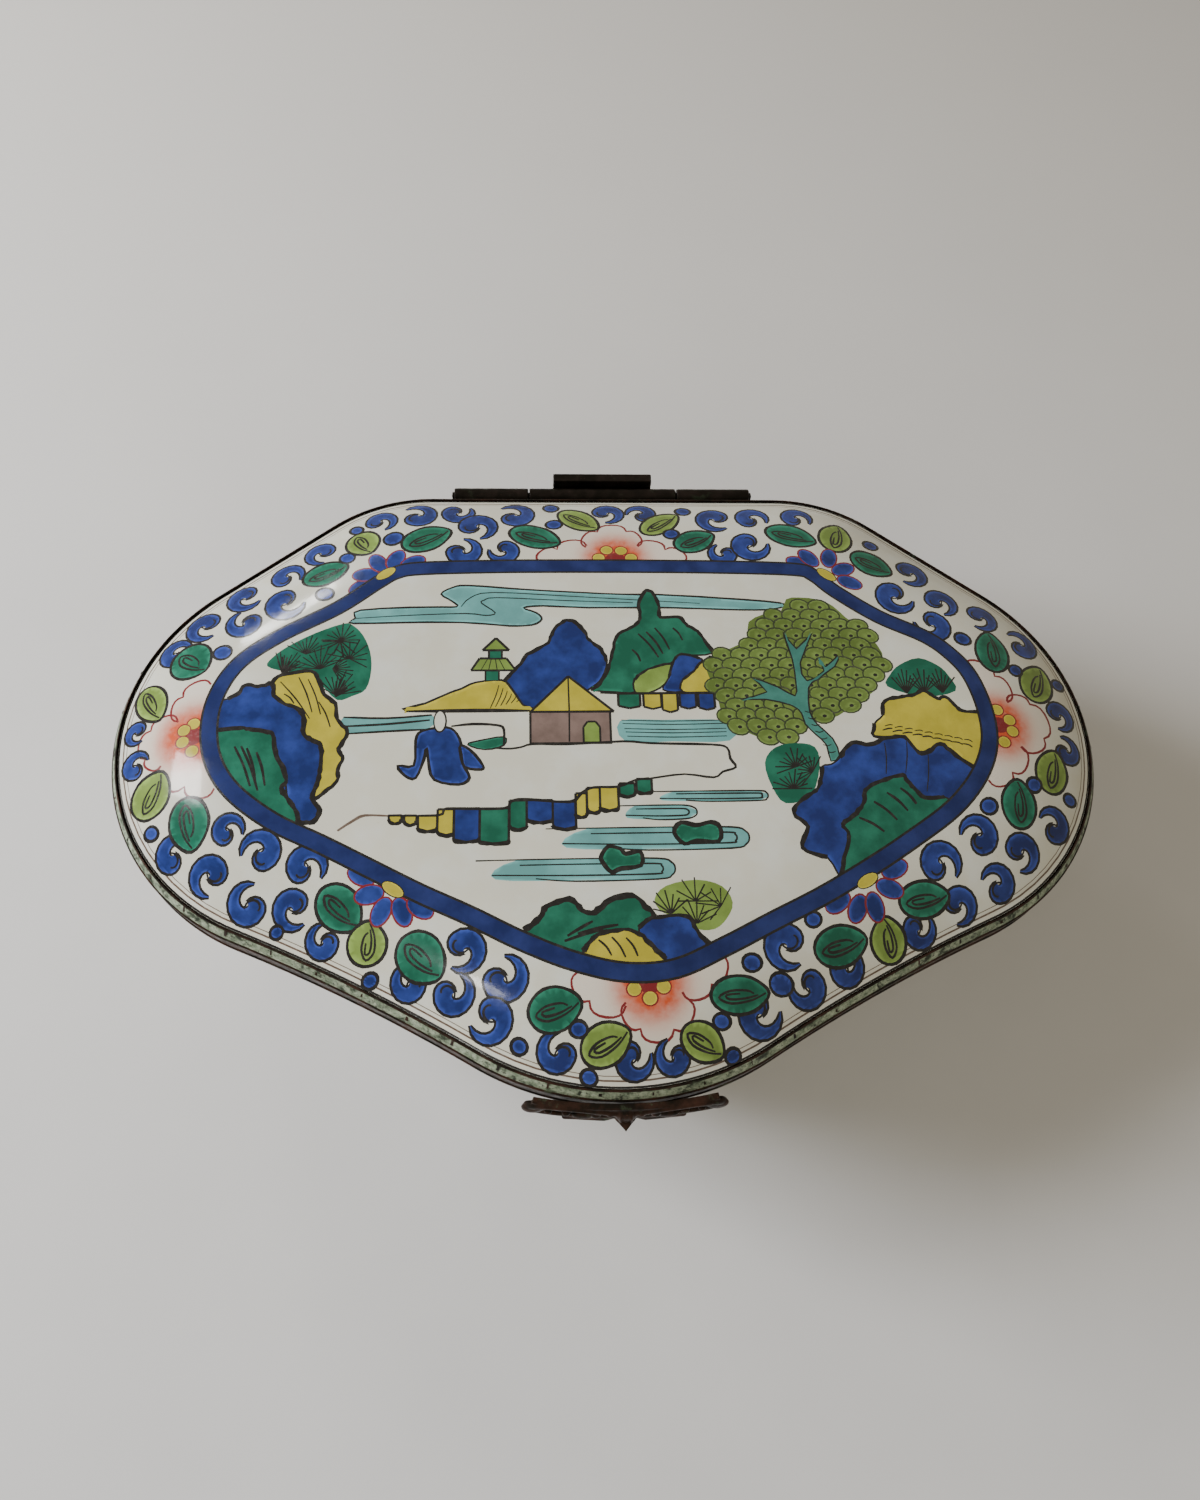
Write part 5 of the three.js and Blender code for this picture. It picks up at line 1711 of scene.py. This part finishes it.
class OBJECT_OT_table_box_hinge(bpy.types.Operator):
    """Build the hinge: three knuckles with leaves, a pin and the stop"""

    bl_idname = "object.table_box_hinge"
    bl_label = "Hinge"

    def execute(self, context):
        for name in ("left", "right"):
            low, high = frame_mm(f"hinge_knuckle_{name}")
            self.knuckle(f"knuckle_{name}", "box", f"hinge_knuckle_{name}", low[0], high[0],
                         low[2], COLLAR_TOP, BACK_REACH - 0.15)
        low, high = frame_mm("hinge_knuckle_centre")
        self.knuckle("knuckle_centre", "lid", "hinge_knuckle_centre", low[0], high[0],
                     LIP_LOW, LIP_LOW + 0.75, BACK_REACH + 0.15)
        pin = Surface()
        x0, x1 = PIN_LOW[0], PIN_HIGH[0]
        turned(pin, [(x0, 0.01), (x0 + 0.08, 0.6), (x0 + 0.2, 0.95), (x0 + 0.4, 1.0), (x0 + 0.4, 0.85),
                     (x1 - 0.4, 0.85), (x1 - 0.4, 1.0), (x1 - 0.2, 0.95), (x1 - 0.08, 0.6), (x1, 0.01)],
               (0, 0, 1, 1), 24)
        pin.build("pin", "box", ["hinge_pin"], "mount_metal")
        stop = Surface()
        top, plate = STOP_LOW[2] + STOP_PLATE, STOP_HIGH[1] - STOP_UPRIGHT
        bar(stop, STOP_LOW, (STOP_HIGH[0], STOP_HIGH[1], top), STOP_SOFTNESS, (0, 0, 1, 0.48))
        bar(stop, (STOP_LOW[0], plate, STOP_LOW[2] + 0.3), STOP_HIGH, STOP_SOFTNESS, (0, 0.5, 1, 0.48))
        stop.build("stop_block", "box", ["hinge_stop"], "mount_metal")
        return {"FINISHED"}

    def knuckle(self, name, body, node, x0, x1, leaf_low, leaf_high, face):
        """A bored, slightly rounded barrel with a leaf along it."""
        surface = Surface()
        bore, edge, shoulder = BORE_RADIUS, BARREL_RADIUS - 0.22, BARREL_RADIUS - 0.08
        turned(surface, [(x0, bore), (x0, edge), (x0 + 0.08, shoulder), (x0 + 0.25, BARREL_RADIUS),
                         (x1 - 0.25, BARREL_RADIUS), (x1 - 0.08, shoulder), (x1, edge), (x1, bore)],
               (0, 0, 1, 0.6))
        turned(surface, [(x1, bore), (x0, bore)], (0, 0.62, 1, 0.1))
        bar(surface, (x0 + 0.02, face, leaf_low), (x1 - 0.02, face + LEAF_THICKNESS, leaf_high), 0.12,
            (0, 0.75, 1, 0.25))
        surface.build(name, body, [node], "mount_metal")


# Clasp

CLASP_FACE = -FRONT_REACH - GAP
CLASP_HALF = 19.0
BOW_HEIGHT = 7.4
CLASP_Z = PARTING - BOW_HEIGHT / 3
CLASP_BEND = 95.0
RIBBON = 0.95
BAR_DEPTH = 1.3
BAR_HEIGHT = 3.4


def on_clasp(x, out, z):
    """A place on the clasp's own gentle bend."""
    turn = x / CLASP_BEND
    radius = CLASP_BEND + out
    return Vector((radius * math.sin(turn), CLASP_FACE + CLASP_BEND - radius * math.cos(turn), z))


def sweep(surface, path, radii, closed):
    """A round cord along a path of points, with a radius at each."""
    sides = 10
    rings = []
    count = len(path)
    for k, here in enumerate(path):
        before = path[(k - 1) % count] if closed else path[max(k - 1, 0)]
        after = path[(k + 1) % count] if closed else path[min(k + 1, count - 1)]
        forwards = (after - before).normalized()
        outwards = Vector((here.x / CLASP_BEND, -1, 0)).normalized()
        across = forwards.cross(outwards).normalized()
        angles = [2 * math.pi * s / sides for s in range(sides)]
        rings.append(np.array([tuple(here + radii[k] * (across * math.cos(a) - outwards * math.sin(a)))
                               for a in angles]))
    if closed:
        rings.append(rings[0])
    skin(surface, rings, "bronze", (0, 0, 1, 1))
    if not closed:
        for course, order in ((rings[0], range(sides)), (rings[-1], range(sides - 1, -1, -1))):
            surface.add(course, [list(order)[::-1]], "bronze", np.zeros((sides, 2)))


def lump(surface, x, out, z, rx, ry, rz):
    """A smooth cast lump."""
    centre = on_clasp(x, out, z)
    rows, sides = 12, 18
    rings = []
    for row in range(1, rows):
        polar = math.pi * row / rows
        rings.append(np.array([(centre.x + rx * math.sin(polar) * math.cos(a),
                                centre.y + ry * math.sin(polar) * math.sin(a),
                                centre.z - rz * math.cos(polar))
                               for a in (2 * math.pi * s / sides for s in range(sides))]))
    skin(surface, rings, "bronze", (0, 0, 1, 1))
    for course, z_end, upward in ((rings[0], centre.z - rz, False), (rings[-1], centre.z + rz, True)):
        points = np.vstack([course, [centre.x, centre.y, z_end]])
        around = [(k, (k + 1) % sides) for k in range(sides)]
        faces = [[sides, k, after] if upward else [sides, after, k] for k, after in around]
        surface.add(points, faces, "bronze", np.zeros((sides + 1, 2)))


def clasp_bar(surface):
    """The bar behind the bow, on the lid's band."""
    half = CLASP_HALF - RIBBON
    low, high = CLASP_Z - BAR_HEIGHT / 2, LIP_LOW + 0.75
    corners = ((0, low), (BAR_DEPTH, low), (BAR_DEPTH, high), (0, high))
    steps = 12
    sections = []
    for k in range(steps + 1):
        x = half * (2 * k / steps - 1)
        sections.append(np.array([tuple(on_clasp(x, out, z)) for out, z in corners]))
    skin(surface, sections, "bronze", (0, 0, 1, 1))
    for section, order in ((sections[0], [3, 2, 1, 0]), (sections[-1], [0, 1, 2, 3])):
        surface.add(section, [order], "bronze", np.zeros((4, 2)))


def clasp_loop(surface, side):
    """One loop of the bow, wider at its far end. Side is -1 for the left and 1 for the right."""
    long, tall = (CLASP_HALF - RIBBON) / 2, BOW_HEIGHT / 2 - RIBBON
    count = 60
    path, radii = [], []
    for k in range(count):
        a = 2 * math.pi * k / count
        swell = 1 + 0.35 * math.cos(a)
        path.append(on_clasp(side * (RIBBON + long + long * math.cos(a)), BAR_DEPTH,
                             CLASP_Z + tall * math.sin(a) * swell))
        radii.append(RIBBON * (0.8 + 0.15 * math.cos(2 * a)))
    sweep(surface, path, radii, True)


# Shares of the clasp's half length, of the bar's depth and of the bow's height
TAIL_ROUTE = [(0.05, 1, -0.07), (0.21, 1.3, -0.35), (0.45, 1.1, -0.45), (0.63, 0.95, -0.66)]


def clasp_tail(surface, side):
    """One tail of the ribbon, thicker towards its end."""
    route = [on_clasp(side * x * CLASP_HALF, out * BAR_DEPTH, CLASP_Z + up * BOW_HEIGHT)
             for x, out, up in TAIL_ROUTE]
    legs, steps = len(route) - 1, 24
    tail = []
    for k in range(steps + 1):
        t = legs * k / steps
        leg = min(int(t), legs - 1)
        tail.append(route[leg].lerp(route[leg + 1], t - leg))
    sweep(surface, tail, [0.62 + 0.3 * k / steps for k in range(steps + 1)], False)


# Share of the clasp's half length, height above its middle and size
BUMPS = [(0.3, 0.9, 0.8), (0.6, 0.4, 0.7), (0.78, -0.6, 0.6), (0.16, 1.2, 0.6)]


def clasp_wing(surface, side):
    """One half of the bow: loop, tail, end leaf, pleat and small bumps."""
    clasp_loop(surface, side)
    clasp_tail(surface, side)
    blade = BOW_HEIGHT / 3
    lump(surface, side * (CLASP_HALF - blade / 2), BAR_DEPTH, CLASP_Z, blade * 0.98, blade / 2.1,
         blade * 0.78)
    lump(surface, side * CLASP_HALF * 0.42, BAR_DEPTH * 1.25, CLASP_Z, blade, blade * 0.38, blade / 2)
    for x, z, size in BUMPS:
        lump(surface, side * x * CLASP_HALF, BAR_DEPTH * 1.3, CLASP_Z + z, size * 1.3, size, size)


LIFT_LENGTH = 3.9
LIFT_STATIONS = [0, 0.25, 0.3, 0.6, 0.65, 1]
LIFT_WIDTHS = [3.2, 3.0, 2.5, 1.9, 1.5, 0.35]


def clasp_lift(surface):
    """The pointed lift in front of the bow: flat rolls, each narrower than the last."""
    rolls, rows, sides = 12, 6, 12
    for k in range(rolls):
        t = k / (rolls - 1)
        size = max(float(np.interp(t, LIFT_STATIONS, LIFT_WIDTHS)), 0.3)
        y, z = CLASP_FACE - 0.3 - LIFT_LENGTH * t, CLASP_Z - 1
        rings = []
        for row in range(1, rows):
            polar = math.pi * row / rows
            rings.append(np.array([(size * math.sin(polar) * math.cos(a),
                                    y + 0.5 * math.sin(polar) * math.sin(a),
                                    z - size / 2.4 * (0.95 * math.cos(polar) + 0.25))
                                   for a in (2 * math.pi * s / sides for s in range(sides))]))
        skin(surface, rings, "bronze", (0, 0, 1, 1))
        for course, order in ((rings[0], range(sides - 1, -1, -1)), (rings[-1], range(sides))):
            surface.add(course, [list(order)], "bronze", np.zeros((sides, 2)))


def clasp_parts():
    """The bow: bar, two halves, knot, pleats and pointed lift."""
    surface = Surface()
    clasp_bar(surface)
    for side in (-1, 1):
        clasp_wing(surface, side)
    lump(surface, 0, BAR_DEPTH, CLASP_Z, 2.3, 1.6, 2.2)
    for x in (-1.0, 0, 1.0):
        lump(surface, x, BAR_DEPTH + 0.9, CLASP_Z, 0.45, 0.85, 1.7)
    clasp_lift(surface)
    return surface


CAST_GRAIN = 0.16
CLASP_UV_WIDTH = 40
CLASP_UV_LOW, CLASP_UV_HEIGHT = 44, 14


class OBJECT_OT_table_box_clasp(bpy.types.Operator):
    """Build the cast bow clasp, its parts run together as in a casting"""

    bl_idname = "object.table_box_clasp"
    bl_label = "Bow clasp"

    def execute(self, context):
        parts = clasp_parts().build("clasp_parts", "lid", [], "mount_metal")
        remesh = parts.modifiers.new("cast", "REMESH")
        remesh.mode = "VOXEL"
        remesh.voxel_size = CAST_GRAIN * MM
        soften = parts.modifiers.new("soften", "SMOOTH")
        soften.iterations = 4
        graph = bpy.context.evaluated_depsgraph_get()
        graph.update()
        cast = bpy.data.meshes.new_from_object(parts.evaluated_get(graph))
        cast.name = "bow_clasp"
        bpy.data.objects.remove(parts)
        if not cast.polygons:
            raise RuntimeError("the clasp's casting came out empty")
        cast.materials.clear()
        cast.materials.append(material("bronze"))
        cast.polygons.foreach_set("use_smooth", [True] * len(cast.polygons))
        while cast.uv_layers:
            cast.uv_layers.remove(cast.uv_layers[0])
        layer = cast.uv_layers.new(name="plan")
        for polygon in cast.polygons:
            shift = 0.0 if polygon.normal.y < 0 else 0.5
            for loop in polygon.loop_indices:
                at = cast.vertices[cast.loops[loop].vertex_index].co / MM
                layer.data[loop].uv = (at.x / CLASP_UV_WIDTH + 0.5,
                                       shift + 0.5 * (at.z - CLASP_UV_LOW) / CLASP_UV_HEIGHT)
        place(cast, "bow_clasp", "lid", ["clasp_bow"], "mount_metal")
        return {"FINISHED"}


# Stage

CAMERA_AIM = Vector((-2.729, -1.979, 54.0))
CAMERA_DISTANCE = 263.995
CAMERA_HEIGHT_ANGLE = math.radians(64.0)
CAMERA_YAW = math.radians(-7.189)
CAMERA_ROLL = math.radians(6.023)


def soft_light(name, place_mm, aim_mm, size_mm, power, colour=(1, 1, 1), mirrored=True):
    """An area light that faces a point. Mirrored says whether gloss shows its reflection."""
    data = bpy.data.lights.new(name, "AREA")
    data.shape = "RECTANGLE"
    data.size, data.size_y = size_mm[0] * MM, size_mm[1] * MM
    data.energy = power
    data.color = colour
    lamp = bpy.data.objects.new(name, data)
    lamp.location = Vector(place_mm) * MM
    lamp.visible_glossy = mirrored
    lamp.rotation_mode = "QUATERNION"
    lamp.rotation_quaternion = (Vector(aim_mm) - Vector(place_mm)).to_track_quat("-Z", "Y")
    bpy.context.scene.collection.objects.link(lamp)


# Wide lights that the gloss does not mirror: place, aim, size, share of the daylight and colour
WIDE_LIGHTS = [
    ("window", (-890, 165, 490), (0, 0, 20), (420, 420), 1.0, (0.82, 0.875, 1)),
    ("front_fill", (-60, -900, 700), (0, -200, 0), (900, 500), 0.16, (0.93, 0.97, 1)),
]

# Small bright panes whose reflections are the highlights on the gloss: place, aim, size and power
GLINTS = [
    ("pane_left", (-490, 130, 475), (-88, -12, 63), (120, 130), 0.85),
    ("pane_edge", (-310, 474, 380), (-74, 24, 64), (100, 50), 0.38),
    ("pane_front", (-250, -243, 587), (-27, -56, 62), (24, 34), 0.05),
]

FLOOR_HALF = 4.0
# Darker, warmer paper colour for the painted shade on the floor's far side
FAR_PAPER_SHADE = (0.50, 0.45, 0.36)
SKY = (0.87, 0.775, 0.59, 1)
SKY_STRENGTH = 0.40


class SCENE_OT_table_box_stage(bpy.types.Operator):
    """Set out the pale floor, the soft light and the camera"""

    bl_idname = "scene.table_box_stage"
    bl_label = "Stage"

    def execute(self, context):
        stage = context.scene.table_box_stage
        mesh = bpy.data.meshes.new("floor")
        corners = [(x * FLOOR_HALF, y * FLOOR_HALF, 0) for x, y in ((-1, -1), (1, -1), (1, 1), (-1, 1))]
        mesh.from_pydata(corners, [], [(0, 1, 2, 3)])
        floor = bpy.data.objects.new("floor", mesh)
        context.scene.collection.objects.link(floor)
        paper = Shader("pale_paper")
        tone = paper.mix(paper.spread(paper.noise(60, 3), 0.3, 0.7), shade(tuple(stage.floor), 0.97),
                         shade(tuple(stage.floor), 1.03))
        # Painted shade: the floor turns darker and warmer towards the back
        reach = paper.node("ShaderNodeSeparateXYZ")
        paper.join(paper.place, reach.inputs["Vector"])
        far = paper.spread(reach.outputs["Y"], -0.15, 0.4)
        tone = paper.mix(far, tone, toward(shade(tuple(stage.floor), 0.9), FAR_PAPER_SHADE, 0.4))
        mesh.materials.append(paper.finish(tone, paper.spread(paper.noise(9, 3), 0.3, 0.7, 0.75, 0.9)))
        world = context.scene.world or bpy.data.worlds.new("studio")
        context.scene.world = world
        world.use_nodes = True
        sky = world.node_tree.nodes["Background"]
        sky.inputs["Color"].default_value = SKY
        sky.inputs["Strength"].default_value = SKY_STRENGTH
        for name, place_mm, aim_mm, size_mm, share, colour in WIDE_LIGHTS:
            soft_light(name, place_mm, aim_mm, size_mm, stage.daylight * share, colour, False)
        for name, place_mm, aim_mm, size_mm, power in GLINTS:
            soft_light(name, place_mm, aim_mm, size_mm, power)
        self.camera(context, stage.lens)
        return {"FINISHED"}

    def camera(self, context, lens):
        """The photo's own angle: well above the front, turned and tilted a little."""
        el, yaw, roll = CAMERA_HEIGHT_ANGLE, CAMERA_YAW, CAMERA_ROLL
        back = Vector((math.sin(yaw) * math.cos(el), -math.cos(yaw) * math.cos(el), math.sin(el)))
        right = Vector((math.cos(yaw), math.sin(yaw), 0))
        up = back.cross(right)
        side = right * math.cos(roll) + up * math.sin(roll)
        head = up * math.cos(roll) - right * math.sin(roll)
        data = bpy.data.cameras.new("camera")
        data.lens = lens
        data.sensor_width = 36
        data.sensor_fit = "HORIZONTAL"
        data.clip_start = 0.01
        camera = bpy.data.objects.new("camera", data)
        context.scene.collection.objects.link(camera)
        turn = Matrix((side, head, back)).transposed()
        camera.rotation_mode = "QUATERNION"
        camera.rotation_quaternion = turn.to_quaternion()
        camera.location = (CAMERA_AIM + back * CAMERA_DISTANCE) * MM
        context.scene.camera = camera


class VIEW3D_PT_table_box(bpy.types.Panel):
    """Lists the pieces and their settings"""

    bl_idname = "VIEW3D_PT_table_box"
    bl_label = "Porcelain box"
    bl_space_type = "VIEW_3D"
    bl_region_type = "UI"
    bl_category = "Porcelain box"

    def draw(self, context):
        layout = self.layout
        for settings in (context.scene.table_box_forms, context.scene.table_box_pigments,
                         context.scene.table_box_stage):
            column = layout.column(align=True)
            for key in settings.__annotations__:
                column.prop(settings, key)
        for operator in OPERATORS:
            layout.operator(operator.bl_idname)


OPERATORS = (OBJECT_OT_table_box_lid, OBJECT_OT_table_box_body, OBJECT_OT_table_box_mounts,
             OBJECT_OT_table_box_hinge, OBJECT_OT_table_box_clasp, SCENE_OT_table_box_stage)
CLASSES = (BoxForms, BoxPigments, BoxStage, *OPERATORS, VIEW3D_PT_table_box)


def register():
    for cls in CLASSES:
        bpy.utils.register_class(cls)
    bpy.types.Scene.table_box_forms = bpy.props.PointerProperty(type=BoxForms)
    bpy.types.Scene.table_box_pigments = bpy.props.PointerProperty(type=BoxPigments)
    bpy.types.Scene.table_box_stage = bpy.props.PointerProperty(type=BoxStage)


def unregister():
    del bpy.types.Scene.table_box_stage
    del bpy.types.Scene.table_box_pigments
    del bpy.types.Scene.table_box_forms
    for cls in reversed(CLASSES):
        bpy.utils.unregister_class(cls)


def main():
    register()
    bpy.ops.object.table_box_lid()
    bpy.ops.object.table_box_body()
    bpy.ops.object.table_box_mounts()
    bpy.ops.object.table_box_hinge()
    bpy.ops.object.table_box_clasp()
    bpy.ops.scene.table_box_stage()


if __name__ == "__main__":
    main()
